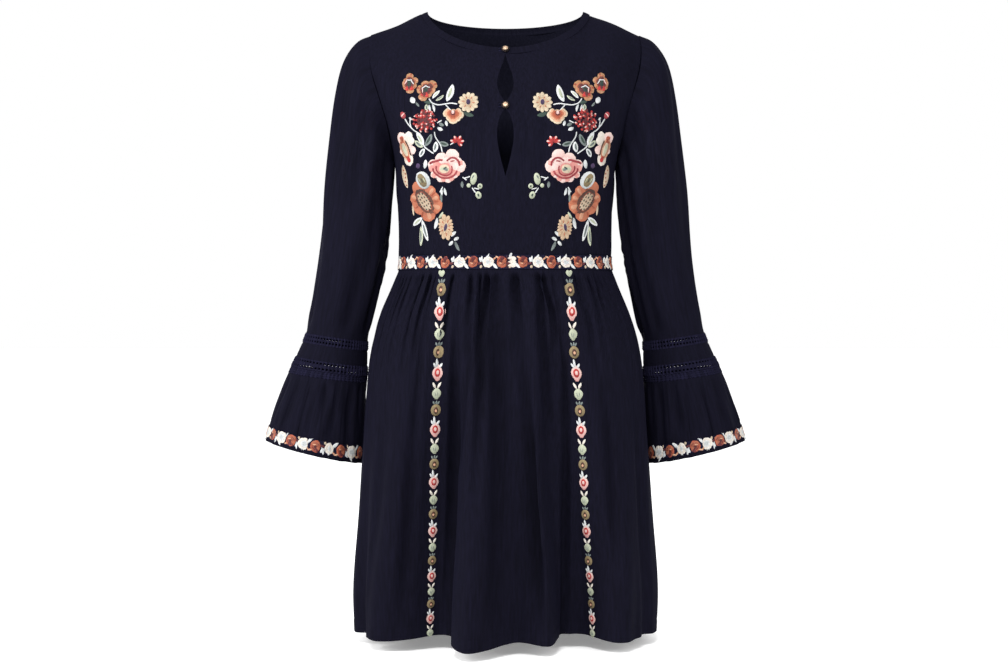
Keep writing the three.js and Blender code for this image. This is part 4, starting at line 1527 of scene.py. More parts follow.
def even_lobes(count, reach, tall=1.0, tilt=0.0, fill=1.25, start=0.0):
    """Lobes of an oval flower: its reach sideways, and how much further it reaches up and down."""
    lobes = []
    for n in range(count):
        angle = start + n * 360 / count
        turn = math.radians(angle - tilt)
        far = reach * tall / math.hypot(tall * math.cos(turn), math.sin(turn)) * rng.uniform(0.96, 1.03)
        lobes.append((angle, far, fill * 2 * math.pi * far * 0.8 / count))
    return lobes


def bowed_line(work, centre, offsets, width, thread, layer):
    """A raised line through points given from a flower's centre."""
    stem(work, [(centre[0] + x, centre[1] + y) for x, y in offsets], width, thread, layer, (0.2, 0.6), 0.35)


# %% [markdown]
# ## Poppies, daisies and bell flower
#
# Each function sews one kind of flower round its centre. The flowers are ordinary folk motifs; their sizes
# and colours follow the dress, and no two lobes are alike, as in hand-drawn patterns. A lobe is given by
# its angle, its reach and its width in mm; an angle of 0 points away from the centre front and 90 points
# up.

# %% Poppies, daisies and bell
POPPY_HIGH = [(92, 15, 11), (150, 13, 10), (208, 10.7, 9), (266, 13.6, 12), (319, 10.6, 9)]
POPPY_HIGH += [(3, 10, 11), (43, 10.3, 9)]
POPPY_LOW = [(141, 17, 15), (80, 13.3, 12), (8, 13.3, 13), (-64, 16.1, 14), (244, 11.5, 11), (180, 12.6, 12)]
BELL_LOBES = [(5, 14, 11), (28, 12.4, 9), (-50, 11.8, 10), (-90, 14, 13), (-130, 12.9, 11)]
BELL_LOBES += [(-172, 14.3, 11), (152, 12, 9)]


def poppy(work, centre, lobes, lean, red_side):
    lobed(work, centre, lobes, [(1.0, "tan"), (0.8, "orange"), (0.68, "brown"), (0.56, "maroon")], 1)
    for n, (angle, reach, width) in enumerate(lobes):
        tip = away_from(centre, angle + 8, 0.96 * reach)
        root = away_from(centre, angle + 8, 0.72 * reach)
        leaf(work, root, tip, 0.3 * width, "peach" if n % 2 else "rust", 0, 2.4, (0.2, 0.7), 0.2)
    for angle in (red_side - 22, red_side + 22):
        petal(work, away_from(centre, angle, 2), away_from(centre, angle, 10.5), 6.4, "red", 4.2, (0.3, 1.0), 0.4)
    oval(work, centre, (9.4, 10.6), "green", lean, 4.4, (0.0, 0.4), 0.4)
    for angle, thread in ((lean + 150, "white"), (lean + 30, "blush"), (lean + 92, "white")):
        root = away_from(centre, angle - 46, 7.0)
        tip = away_from(centre, angle + 46, 7.0)
        leaf(work, root, tip, 2.0, thread, 0.1, 6, (0.3, 0.9), 0.3)


def daisy(work, centre, reach, tall, tilt, petals, thread="cream"):
    lobes = even_lobes(petals, reach, tall, tilt, 1.1)
    lobed(work, centre, lobes, [(1.0, thread), (0.5, "wheat")], 1)
    for n, (angle, far, width) in enumerate(lobes):
        if n % 2 == 0:
            root = away_from(centre, angle + 6, 0.3 * far)
            leaf(work, root, away_from(centre, angle + 6, 0.68 * far), 1.5, "rust", 0, 3, (0.5, 1.0), 0.25)
    oval(work, centre, (0.72 * reach, 0.72 * reach * tall), "beige", tilt, 3.4, (0.2, 0.6), 0.35)
    oval(work, centre, (0.54 * reach, 0.54 * reach * tall), "purple", tilt, 5, (0.0, 0.5), 0.5)


def bell_flower(work, centre):
    bands = [(1.0, "cream"), (0.86, "peach"), (0.62, "orange"), (0.48, "rust")]
    lobed(work, centre, BELL_LOBES, bands, 1)
    oval(work, (centre[0], centre[1] + 1), (9, 7), "maroon", 0, 5.4, rise=0.3)
    oval(work, (centre[0], centre[1] + 1.5), (5.6, 5.2), "blush", 0, 7, (0.3, 0.9))


# %% Berries, tall flower and fan
def berry_cluster(work, centre, size):
    oval(work, centre, (0.84 * size[0], 0.8 * size[1]), "maroon", 0, 0.2, (0.2, 0.7), 0.1)
    crown = (centre[0] - 2, centre[1] + 0.4 * size[1])
    oval(work, crown, (0.4 * size[0], 0.3 * size[1]), "maroon", 0, 0.2, rise=0.1)
    for n in range(52):
        share = math.sqrt((n + 0.5) / 52)
        angle = n * 137.5 + rng.uniform(-12, 12)
        turn = math.radians(angle)
        root = np.array([centre[0] + 0.42 * size[0] * share * math.cos(turn),
                         centre[1] + 0.42 * size[1] * share * math.sin(turn)])
        lean = angle + rng.uniform(-80, 80)
        end = away_from(root, lean, rng.uniform(3.4, 5.2))
        petal(work, root, end, 3.6, "maroon" if n % 6 == 1 else "red", 1.4 + (n % 3) * 0.7, (0.0, 0.9), 0.6)
        if n % 2 == 0:
            tip = away_from(end, lean, rng.uniform(0.8, 2.0))
            petal(work, root + 0.55 * (end - root), tip, 2.3, "blush" if n % 3 else "pink", 4.0, (0.2, 0.9), 0.4)


# %% Tall flower and fan
def tall_flower(work, centre):
    x, y = centre
    petal(work, (x - 1, y - 4), (x + 10, y + 22), 13, "blush", 1, (0.4, 1.0))
    petal(work, (x - 2, y - 2), (x - 2, y + 22), 12, "ivory", 1.3, (0.2, 0.8))
    petal(work, (x, y), (x - 8, y + 13), 11, "ivory", 1, (0.2, 0.8))
    petal(work, (x, y + 4), (x - 10.5, y - 9), 12, "blush", 1.3, (0.4, 1.0))
    petal(work, (x + 2, y + 2), (x - 5, y - 25), 13, "ivory", 1.6, (0.2, 0.8))
    petal(work, (x + 2, y + 6), (x + 7, y - 8), 9, "blush", 1.2, (0.4, 1.0))
    leaf(work, (x + 7.5, y + 17), (x - 5, y - 21), 13.5, "peach", 0.05, 3, (0.2, 0.9), 0.35)
    leaf(work, (x + 7, y + 14), (x - 4.4, y - 18), 10.5, "rust", 0.05, 4.4, (0.3, 0.9), 0.25)
    leaf(work, (x + 5.4, y + 10), (x - 3, y - 14), 8.8, "beige", 0.05, 5.6, (0.2, 0.9), 0.35)
    leaf(work, (x + 4.6, y + 7), (x - 2, y - 10), 3.6, "sage", 0.05, 7, (0.3, 0.9), 0.2)
    petal(work, (x - 2, y - 11), (x - 5, y - 20), 5, "red", 6.4, (0.2, 0.8), 0.3)
    petal(work, (x + 4, y + 9), (x + 7.5, y + 16), 5, "rust", 6.4, (0.2, 0.8), 0.3)
    stem(work, [(x + 2, y + 11), (x - 3, y + 1), (x - 6.5, y - 12)], 1.0, "brown", 7, (0.2, 0.5), 0.25)


def red_fan(work, centre):
    for angle, reach in ((18, 9.6), (66, 9.4), (118, 9.8), (166, 9.0), (214, 7.6)):
        tip = away_from(centre, angle, reach)
        petal(work, centre, tip, 5.2, "red", 1, (0.1, 0.9))
        petal(work, away_from(centre, angle, 0.5 * reach), tip, 2.9, "blush", 2.6, (0.2, 1.0), 0.3)


# %% [markdown]
# ## Rose
#
# The rose is the largest flower. It is laid as on the real dress: pale lobes first, a pink rim on the
# shaded side, pink and pale petals within, then dark lines that part the petals, and a light heart. A
# single swirl could stand for it, but the dark lines are what makes it read as a rose, so each has its own
# points from the rose's centre.

# %% Rose
ROSE_LOBES = [(117, 26.4, 20), (60, 21.8, 18), (13, 26.1, 16), (-28, 24, 12), (-60, 21.8, 13), (263, 20.9, 13)]
ROSE_LOBES += [(222, 19.7, 12), (176, 26.1, 19), (153, 22.8, 14)]
ROSE_LINES = [
    (3.0, [(0.5, 6.6), (-4, 11.5), (-9, 12.8), (-14, 10.5), (-17.5, 5.7), (-17, 0)]),
    (2.2, [(-3.3, 5.7), (-7, 8.6), (-10.4, 8.8), (-13.7, 7.1)]),
    (3.6, [(23.2, 4.7), (18.5, 8.2), (14.6, 7.6), (8, 10.2), (2.4, 9)]),
    (2.8, [(17.5, 0.9), (17.5, -3.5), (14.6, -7.6), (7.1, -13.2), (-2.4, -14.2), (-10.9, -10.4), (-14.6, -3.8)]),
    (2.4, [(12.8, 4), (13.6, -1), (12.8, -3.8), (9, -8.5), (-0.5, -11.3), (-7.1, -7.6), (-8, 0), (-6, 3.6)]),
]


def rose_flower(work, centre):
    lobed(work, centre, ROSE_LOBES, [(1.0, "blush")], 0.6, 0.8)
    rim = [(0, 24, 11), (-30, 23, 9), (-75, 19.5, 9), (-112, 19.5, 9), (-150, 20, 9), (165, 23.5, 9)]
    for angle, reach, width in rim:
        root = away_from(centre, angle, 12)
        petal(work, root, away_from(centre, angle, reach), width, "pink", 1.6, (0.0, 0.9), 0.3)
    for angle, reach, width in ((22, 19.5, 15), (-20, 20, 13), (-60, 17, 13), (-100, 16.5, 12), (-140, 16, 12)):
        root = away_from(centre, angle, 4)
        petal(work, root, away_from(centre, angle, reach), width, "pink", 2.2, (0.0, 0.8), 0.4, 0.0, 1.3)
    for angle, reach, width in ((175, 18, 14), (140, 17.5, 13), (90, 13.5, 13), (60, 15, 13)):
        root = away_from(centre, angle, 4)
        petal(work, root, away_from(centre, angle, reach), width, "blush", 2.4, (0.3, 1.0), 0.4, 0.0, 1.3)
    for width, offsets in ROSE_LINES:
        bowed_line(work, centre, offsets, width, "rose", 4.4)
    middle = (centre[0] + 2.4, centre[1] - 1.9)
    oval(work, middle, (22.5, 15.5), "pink", 0, 4, (0.0, 0.5), 0.3)
    oval(work, middle, (19, 12), "beige", 0, 5, (0.6, 1.0))
    leaf(work, (middle[0] - 8, middle[1] - 2), (middle[0] + 8, middle[1] - 1), 6.4, "sage", 0.2, 6, (0.2, 0.8), 0.25)
    oval(work, (centre[0] + 0.5, centre[1] - 2.6), (5, 6.4), "grey", 60, 6.6, (0.4, 1.0), 0.3)
    leaf(work, (centre[0] - 2, centre[1] + 0.6), (centre[0] + 4, centre[1] - 3.4), 2.6, "green", 0.2, 7.8, rise=0.3)


# %% [markdown]
# ## Orange flower and outlined bud
#
# The orange flower has a seed head in a lattice of short stitches. A checker texture would be quicker, but
# stitches have height and catch the light, so five rows of five are laid one by one. The bud over it is a
# white rim round an olive middle with three strokes.

# %% Orange flower and outlined bud
ORANGE_LOBES = [(63, 31.5, 17), (27, 22, 18), (-10, 18, 17), (-49, 19, 18), (257, 27, 20), (205, 23.5, 22)]
ORANGE_LOBES += [(158, 19.5, 18), (112, 23, 17)]


def orange_flower(work, centre):
    lobed(work, centre, ORANGE_LOBES, [(1.0, "orange")], 0.6, 0.85)
    for angle, reach, width in ((205, 22, 8), (160, 18, 7), (120, 21, 6), (255, 25, 7), (27, 20, 6)):
        root = away_from(centre, angle, 9)
        petal(work, root, away_from(centre, angle, reach), width, "peach", 2.4, (0.0, 0.5), 0.3)
    for angle, reach in ((84, 22), (45, 21), (8, 15), (-30, 15), (-76, 20), (230, 21), (180, 17), (136, 17)):
        leaf(work, away_from(centre, angle, 0.6 * reach), away_from(centre, angle, 1.05 * reach), 1.5, "rust", 0, 3)
    x, y = centre
    leaf(work, (x + 11.5, y + 20), (x - 10.5, y - 18), 25, "brown", 0.0, 3.4, (0.0, 0.6), 0.35)
    leaf(work, (x + 10, y + 17.5), (x - 9, y - 15.5), 20.5, "rust", 0.0, 4.6, (0.0, 0.6), 0.25)
    leaf(work, (x + 9.4, y + 16), (x - 8.2, y - 14.4), 17.5, "beige", 0.0, 5.4, (0.0, 0.6), 0.3)
    for shift, reach in ((-6.0, 0.55), (-3.0, 0.88), (0.0, 1.05), (3.0, 0.86), (6.0, 0.52)):
        top = (x + 7.6 * reach + 0.86 * shift, y + 13.2 * reach - 0.5 * shift)
        foot = (x - 6.6 * reach + 0.86 * shift, y - 12 * reach - 0.5 * shift)
        for part in range(5):
            low = np.array(foot) + (np.array(top) - foot) * (part + 0.12) / 5
            high = np.array(foot) + (np.array(top) - foot) * (part + 0.86) / 5
            leaf(work, low, high, 1.9, "green" if (part + int(shift)) % 2 else "brown", 0.2, 6.8, (0.0, 0.4), 0.2)


def outlined_bud(work, centre, size, tilt):
    oval(work, centre, size, "white", tilt, 5.6, (0.2, 0.7), 0.4)
    oval(work, centre, (size[0] - 4.4, size[1] - 5.0), "olive", tilt, 7, (0.0, 0.5), 0.3)
    leaning = math.radians(tilt)
    for shift in (-3, 0, 3):
        low = (centre[0] + shift - 5 * math.sin(leaning), centre[1] - 5 * math.cos(leaning))
        high = (centre[0] + shift + 5 * math.sin(leaning), centre[1] + 5 * math.cos(leaning))
        leaf(work, low, high, 2.0, "sage" if shift else "green", 0, 8, (0.0, 0.8), 0.2)


# %% [markdown]
# ## Stems and leaves of the spray
#
# A spray is planned on paper and pricked through onto the cloth. Every place here is such a plan: its
# distance from the centre front and its height, in mm. Leaves with a rim are sewn twice, once for the rim
# and once, smaller and higher, for the middle.

# %% Stems and leaves of the spray
WHITE_STEMS = [
    (1.9, [(101, -129), (97, -136), (88, -139.5), (80, -138.5), (71, -137), (62, -139)]),
    (1.8, [(79, -138.5), (74, -144), (69, -150)]),
    (1.8, [(134, -154), (129, -163), (122, -171), (112, -177), (107, -194), (100, -199), (93, -204)]),
    (1.5, [(126.6, -155), (127, -162), (125, -168)]),
    (1.8, [(92.6, -174), (92, -181), (84, -193), (82, -203)]),
    (1.8, [(90, -164), (82, -160)]),
    (1.6, [(73, -193.6), (64, -188)]),
    (1.8, [(57, -234.5), (53, -237), (50, -240)]),
    (1.8, [(55, -236.5), (50, -236), (45, -234)]),
    (1.8, [(44, -248), (41.5, -252), (38, -256.5)]),
    (1.6, [(42, -249), (37, -250.5), (33, -251)]),
    (1.6, [(87.5, -255), (84, -251), (82, -246)]),
]
# start, end, width, thread, and how far it bends
PLAIN_LEAVES = [
    ((125, -126), (120, -135), 8.5, "white", 0.1),
    ((119, -133), (113.5, -140), 3.4, "grey", 0.1),
    ((108, -133), (96, -135.5), 5.5, "green", 0.12),
    ((55.5, -149), (40.6, -154.5), 7, "green", 0.1),
    ((100.5, -137.5), (98, -148), 4, "white", 0.1),
    ((96.5, -137), (93, -149), 3.8, "white", -0.15),
    ((77.5, -160.5), (75.5, -168.5), 4.4, "white", 0.05),
    ((89, -169.5), (81, -173.5), 5.4, "white", 0.05),
    ((87, -163.5), (79.5, -167.5), 5.2, "grey", 0.1),
    ((128, -153), (124.6, -157.5), 3.4, "white", 0.0),
    ((114.5, -222), (117, -214.5), 7, "purple", 0.1),
    ((106.5, -223), (105, -210), 6.4, "white", 0.1),
    ((137, -213), (129, -248), 8.5, "beige", 0.06),
    ((121.5, -267), (120.5, -284), 3, "beige", 0.05),
    ((84, -248), (83.6, -259), 3.8, "white", 0.05),
    ((80.5, -248), (77.5, -259), 4.2, "white", 0.1),
    ((84.4, -254), (84, -268), 3.6, "grey", 0.08),
    ((56.5, -240), (56, -249.5), 4.7, "grey", 0.1),
    ((90, -286), (93.5, -302.5), 5.6, "white", -0.1),
    ((88.5, -288.5), (82, -279), 4, "sage", 0.1),
    ((64, -305), (71, -312), 5, "white", 0.1),
    ((60, -313), (67.5, -317), 5, "white", 0.1),
    ((74, -323.5), (68.5, -317), 5, "white", 0.1),
    ((66, -317), (59.5, -331), 4.8, "grey", 0.08),
]
# start, end, width, rim, middle, and how far it bends
RIMMED_LEAVES = [
    ((77.5, -136), (69, -110), 10.5, "white", "sage", 0.08),
    ((96.4, -130.5), (85.6, -119), 5.6, "white", "sage", -0.1),
    ((92.2, -133.4), (80.5, -125.5), 4.6, "sage", "grey", 0.1),
    ((104, -137), (103, -146.5), 6, "sage", "grey", 0.1),
    ((119, -174), (107.5, -193), 8.4, "white", "sage", -0.12),
    ((106.3, -193.8), (96.4, -176.5), 8.6, "grey", "green", 0.12),
    ((121, -184), (108, -194.5), 7.4, "sage", "grey", 0.1),
    ((105.8, -195.7), (113, -207.5), 8, "white", "grey", 0.12),
    ((93.3, -202.5), (90.5, -187), 8.4, "white", "grey", 0.12),
    ((87, -188.5), (72.8, -193.2), 7.6, "grey", "green", 0.1),
    ((108.5, -285.5), (123, -297), 8, "white", "sage", 0.05),
    ((110, -287.5), (102, -319), 7.2, "white", "grey", 0.05),
    ((112, -296), (113.7, -325), 6, "sage", "grey", -0.06),
]


# %% [markdown]
# ## The whole spray
#
# Stems go down first, then leaves, then flowers from the back to the front, as they are sewn. The finished
# spray could be mirrored with a modifier, but the cloth under the two sides isn't the same. So the same
# plan is sewn twice, and each side is dropped onto its own cloth.

# %% The whole spray
def chest_spray(work):
    for width, points in WHITE_STEMS:
        stem(work, points, width, "white", 0.4)
    for start, end, width, thread, bend in PLAIN_LEAVES:
        leaf(work, start, end, width, thread, bend)
    for start, end, width, rim, middle, bend in RIMMED_LEAVES:
        outlined_leaf(work, start, end, width, rim, middle, bend)
    for share in (0.15, 0.32, 0.5, 0.68, 0.85):
        spot = (mix(136.5, 129.5, share) + 1.2 * math.cos(9 * share), mix(-216, -245, share))
        leaf(work, spot, (spot[0] - 1.2, spot[1] - 3), 2.2, "rust", 0.2, 1.6, (0.2, 0.6), 0.2)
    oval(work, (136, -150), (7, 10), "rose", 24, 1, (0.3, 0.9))
    leaf(work, (133.5, -147), (138, -152.5), 2.6, "blush", 0.1, 2.6)
    oval(work, (41.5, -237.5), (9.4, 16), "sage", -10, 1, (0.3, 1.0))
    leaf(work, (40, -232), (43.5, -238), 2.6, "grey", 0.1, 2.6, (0.2, 0.6), 0.25)
    oval(work, (48, -246), (6, 5.6), "sage", 0, 1, (0.3, 1.0))
    for centre, size in (((33, -247), (7.4, 7)), ((35, -258.5), (8.5, 10))):
        oval(work, centre, size, "sage", 20, 1, (0.3, 1.0))
        oval(work, centre, (size[0] * 0.42, size[1] * 0.42), "green", 20, 2.6, (0.2, 0.6), 0.3)
    poppy(work, (127, -108.5), POPPY_HIGH, 0, 270)
    poppy(work, (104.5, -118), POPPY_LOW, -35, 285)
    daisy(work, (48.5, -136), 14, 1.0, 0, 12)
    bell_flower(work, (68, -152))
    berry_cluster(work, (106, -159.5), (34, 31))
    tall_flower(work, (131, -193))
    red_fan(work, (62.5, -190))
    rose_flower(work, (77, -222))
    orange_flower(work, (105, -266))
    outlined_bud(work, (108, -237.5), (18.5, 25), 28)
    daisy(work, (78, -299.5), 10.3, 1.75, -10, 14, "wheat")


def chest_form(side):
    def surface(a, z):
        return on_bodice(side * a, z, FRONT)

    surface.axis = lambda point: vector(0.35 * point[:, 0], 0 * point[:, 1] + 60, point[:, 2])
    return form_of(surface)


for side_name, side in (("left", 1), ("right", -1)):
    work = Embroidery()
    chest_spray(work)
    work.finish(f"chest_spray_{side_name}", chest_form(side), bodice_front)

# %% [markdown]
# ## Motifs of the skirt's lines
#
# Two lines of small flowers run from the waist to the hem, a little outwards. Three motifs take turns and
# nearly touch: an olive ring under grey leaves, a coral drop under a white crown and a sage bud under two
# white leaves. Each could be one mesh that is copied, but a copy can't follow the cloth, so each is a
# function that hangs a motif from its top at any size.

# %% Skirt motifs
MOTIF_HEIGHTS = {"ring": 21.5, "drop": 30.5, "bud": 24.0}
MOTIFS_TOGETHER = sum(MOTIF_HEIGHTS.values())


def olive_ring(work, top, size):
    """Each motif hangs from its top; size is 1 at the waist."""
    middle = top - 13.5 * size
    for lean in (-3.2, 0.6, 3.6):
        foot = (0.4 * lean * size, top - 6.5 * size)
        leaf(work, foot, (lean * size, top - abs(lean) * 0.3), 2.3 * size, "grey", 0.05, 0.5, (0.5, 1.0))
    oval(work, (0, middle), (11.5 * size, 16 * size), "olive", 0, 1, (0.1, 0.7))
    oval(work, (0, middle - 0.5), (6.6 * size, 9.5 * size), "brown", 0, 2.6, (0.0, 0.4), 0.3)
    oval(work, (0, middle - 0.8), (3.6 * size, 3.8 * size), "peach", 0, 4, (0.7, 1.0), 0.4)


def coral_drop(work, top, size):
    foot = top - 30 * size
    for lean, high, width in ((-1.6, 0, 2.9), (-4.6, 5.5, 2.8), (4.4, 6, 3.0)):
        tip = (lean * size, top - high * size)
        leaf(work, (0.3 * lean * size, top - 13 * size), tip, width * size, "white", 0, 1.4, (0.4, 1.0))
    petal(work, (0, foot), (0, top - 7.5 * size), 12.4 * size, "blush", 0.6, (0.0, 0.8), 0.5, 0.0, 1.0, 0.95)
    oval(work, (0, top - 18.5 * size), (8.4 * size, 11.4 * size), "red", 0, 2.4, (0.2, 0.8), 0.35)
    oval(work, (0, top - 18.2 * size), (4.2 * size, 5.6 * size), "blush", 0, 4, (0.3, 0.9), 0.35)


def sage_bud(work, top, size):
    for lean in (-4.2, 4.2):
        low = (0.2 * lean * size, top - 9 * size)
        leaf(work, low, (lean * size, top), 3.0 * size, "ivory", 0.05, 1.4, (0.6, 1.0))
    foot = (0, top - 23.5 * size)
    petal(work, foot, (0, top - 7.5 * size), 10.4 * size, "sage", 0.6, (0.3, 0.95), 0.5, 0.0, 1.1, 0.75)
    for lean in (-1.8, 1.4):
        low = (0.3 * lean * size, top - 20 * size)
        leaf(work, low, (lean * size, top - 12.5 * size), 0.9, "grey", 0.05, 2.4, (0.5, 0.9), 0.2)


# %% [markdown]
# ## Lines of motifs
#
# The line could be laid out by angle, but the skirt's folds would then squeeze and stretch the motifs. So
# for each height the angle is found where the cloth reaches the line's distance from the centre front, and
# steps beside the line are measured along the cloth. The motifs shrink towards the hem.

# %% Lines of motifs
REPEAT_AT_WAIST = 85.0
REPEAT_AT_HEM = 52.5
FIRST_MOTIF_Z = -366.0
LINE_END_Z = -858.0
# height, and distance from the centre front of the line on the wearer's right and on the left
SKIRT_LINES = [(-357, 84, 84), (-460, 87.5, 90), (-558, 92, 99), (-700, 96, 107), (-838, 100.5, 115.5)]


def line_form(side):
    """Flat places beside the line, turned into places on the skirt."""
    reach = curve_of(SKIRT_LINES, 2 if side > 0 else 1)
    heights = np.linspace(HEM_Z, WAIST_Z, 80)
    angles = np.linspace(0, 80, 641) * side
    found = []
    for z in heights:
        x = skirt_point(angles, np.full_like(angles, z))[:, 0] * side
        found.append(np.interp(reach(z), np.maximum.accumulate(x), angles))

    def surface(a, z):
        middle = np.interp(z, heights, found)
        step = skirt_point(middle + 0.5, z) - skirt_point(middle - 0.5, z)
        per_degree = np.hypot(step[..., 0], step[..., 1])
        spread = mix(1.2, 1.45, (FIRST_MOTIF_Z - z) / (FIRST_MOTIF_Z - LINE_END_Z))
        return skirt_point(middle + spread * a / per_degree, z)

    surface.axis = lambda point: vector(0 * point[:, 0], 0 * point[:, 1], point[:, 2])
    return form_of(surface)


for side_name, side in (("left", 1), ("right", -1)):
    work = Embroidery()
    for lean in (-2.2, 2.2):
        petal(work, (0.1 * lean, -364.5), (lean, -355.3), 5.4, "sage", 0.6, (0.4, 0.9), 0.45, 0.0, 1.2)
    top = FIRST_MOTIF_Z
    number = 0
    while True:
        down = (FIRST_MOTIF_Z - top) / (FIRST_MOTIF_Z - LINE_END_Z)
        size = mix(REPEAT_AT_WAIST, REPEAT_AT_HEM, down) / MOTIFS_TOGETHER
        motif, kind = ((olive_ring, "ring"), (coral_drop, "drop"), (sage_bud, "bud"))[number % 3]
        if top - MOTIF_HEIGHTS[kind] * size < LINE_END_Z:
            break
        motif(work, top, size)
        top -= MOTIF_HEIGHTS[kind] * size
        number += 1
    work.finish(f"skirt_line_{side_name}", line_form(side), skirt_front)
    print("motifs in the line:", number)

# %% [markdown]
# ## The flowers of the tapes
#
# A cream rose and a rust flower take turns along the tape, with white leaves between. A woven pattern could
# be painted on the tape, but this one is raised thread like the rest. Places are shares of a flower's width
# and height, so the same flower serves both tapes.

# %% Tape motifs
def cream_rose(work, a, b, tall):
    wide = tall
    leaf(work, (a - 0.34 * wide, b + 0.05 * tall), (a - 0.74 * wide, b + 0.42 * tall), 5.6, "white", 0.15, 0.8, (0.4, 1))
    leaf(work, (a - 0.7 * wide, b - 0.05 * tall), (a - 0.5 * wide, b + 0.56 * tall), 3.6, "white", -0.1, 1.2, (0.5, 1))
    leaf(work, (a - 0.28 * wide, b + 0.2 * tall), (a + 0.08 * wide, b + 0.7 * tall), 3.4, "white", -0.1, 1.2, (0.5, 1))
    leaf(work, (a + 0.36 * wide, b - 0.04 * tall), (a + 0.8 * wide, b - 0.56 * tall), 4.6, "white", -0.1, 0.6, (0.4, 1))
    leaf(work, (a + 0.4 * wide, b + 0.18 * tall), (a + 0.66 * wide, b + 0.42 * tall), 2.6, "peach", 0.1, 0.4)
    lobes = even_lobes(7, 0.5 * wide, 1.0, 0, 1.3, rng.uniform(0, 50))
    lobed(work, (a, b), lobes, [(1.0, "ivory"), (0.6, "white")], 1.4, 0.8)
    for angle in (20, 140, 260):
        root = away_from((a, b), angle, 0.2 * wide)
        tip = away_from((a, b), angle + 75, 0.26 * wide)
        leaf(work, root, tip, 1.3, "blush", -0.3, 4.2, (0.1, 0.6), 0.2)


def rust_flower(work, a, b, tall, share=0.74):
    wide = share * tall
    leaf(work, (a - 0.2 * wide, b + 0.3 * tall), (a - 0.66 * wide, b + 0.46 * tall), 2.8, "peach", 0.1, 0.8, (0.6, 1))
    leaf(work, (a + 0.3 * wide, b - 0.2 * tall), (a + 0.95 * wide, b - 0.1 * tall), 3.8, "maroon", 0.1, 0.6)
    oval(work, (a + 0.85 * wide, b - 0.38 * tall), (3.6, 4.2), "beige", 20, 0.6)
    lobes = even_lobes(6, 0.5 * wide, 1.02 / share, 0, 1.35, rng.uniform(0, 60))
    lobed(work, (a, b), lobes, [(1.0, "rust")], 1.2, 0.9)
    petal(work, (a, b + 0.08 * tall), (a + 0.1 * wide, b + 0.48 * tall), 0.7 * wide, "maroon", 2.6, (0.3, 1.0), 0.3)
    petal(work, (a, b), (a - 0.3 * wide, b - 0.4 * tall), 0.6 * wide, "orange", 2.8, (0.1, 0.7), 0.35)
    petal(work, (a, b), (a + 0.36 * wide, b - 0.36 * tall), 0.5 * wide, "orange", 2.6, (0.0, 0.6), 0.35)
    petal(work, (a, b + 0.05 * tall), (a + 0.42 * wide, b + 0.16 * tall), 0.42 * wide, "orange", 2.8, (0.1, 0.7), 0.3)
    leaf(work, (a - 0.34 * wide, b - 0.1 * tall), (a + 0.05 * wide, b - 0.2 * tall), 2.0, "peach", 0.2, 4.4, (0.6, 1), 0.25)
    oval(work, (a - 0.05 * wide, b + 0.06 * tall), (0.3 * wide, 0.22 * tall), "maroon", 20, 4.4, (0.1, 0.5), 0.25)
    for offsets in ([(-0.38, -0.08), (-0.26, 0.24), (0.1, 0.36)], [(0.4, 0.06), (0.28, -0.22), (-0.08, -0.36)]):
        bent = [(x * wide, y * tall) for x, y in offsets]
        bowed_line(work, (a, b), bent, 1.2, "maroon", 4.6)


# %% [markdown]
# ## Flowers of the waist tape
#
# The waist tape starts and ends at the middle of the front, where one rose is cut through and a dark line
# shows the join. The repeats go round from there; they could be spread evenly from the middle, but then no
# flower would be cut, as it is on the dress. Their number is rounded so that the last one ends where the
# first begins.

# %% Waist tape embroidery
TAPE_REPEAT = 38.4
JOIN_AT = 2.0
RUST_BEFORE_JOIN = -4.8
RUST_AFTER_JOIN = 23.0


def ring_form(surface, at, side=1, lean=None):
    """A form whose first coordinate is the distance round a ring from its angle 0; also the ring's length."""
    angles = np.linspace(-180, 540, 2881)
    points = surface(angles, np.full_like(angles, at))
    steps = np.linalg.norm(np.diff(points, axis=0), axis=1)
    length = np.concatenate([[0], np.cumsum(steps)])
    length = length - np.interp(0, angles, length)

    def placed(a, b):
        return surface(np.interp(a, length, angles), b) * np.array([side, 1, 1])

    placed.axis = lean or (lambda point: vector(0 * point[:, 0], 0 * point[:, 1], point[:, 2]))
    return form_of(placed), np.interp(360, angles, length)


# %% Flowers of the waist tape
waist_middle = (WAIST_TAPE[0] + WAIST_TAPE[1]) / 2
waist_ring, waist_turn = ring_form(waist_form, waist_middle)
way_round = waist_turn - (RUST_AFTER_JOIN - RUST_BEFORE_JOIN)
repeats = round(way_round / TAPE_REPEAT)
pitch = way_round / repeats
FLOWER_HEIGHT = 15.8
work = Embroidery(0.2)
for n in range(repeats):
    start = RUST_AFTER_JOIN + n * pitch
    if n * pitch >= waist_turn / 2:
        start -= waist_turn
    cream_rose(work, start + 0.53 * pitch, waist_middle - 0.4, FLOWER_HEIGHT)
    rust_flower(work, start, waist_middle, FLOWER_HEIGHT + 1.2)
rust_flower(work, RUST_BEFORE_JOIN, waist_middle, FLOWER_HEIGHT + 1.2)
for high in (-5.2, 0.0, 5.2):
    petal(work, (JOIN_AT + 0.8, waist_middle + high), (14.5, waist_middle + 0.8 * high), 6.6, "ivory", 1.4, (0.3, 1))
leaf(work, (5, waist_middle + 5), (8.5, waist_middle + 12), 3.6, "white", 0, 1.2, (0.5, 1))
leaf(work, (12, waist_middle), (19.5, waist_middle - 8.5), 4.4, "white", -0.1, 1, (0.4, 1))
stem(work, [(JOIN_AT, waist_middle - 9), (JOIN_AT, waist_middle + 9)], 1.0, "maroon", 3, (0.1, 0.3), 0.3)
waist_flowers = work.finish("waist_tape_flowers", waist_ring, waist_tape)
print("waist tape: round", round(waist_turn), "mm, repeats", repeats)

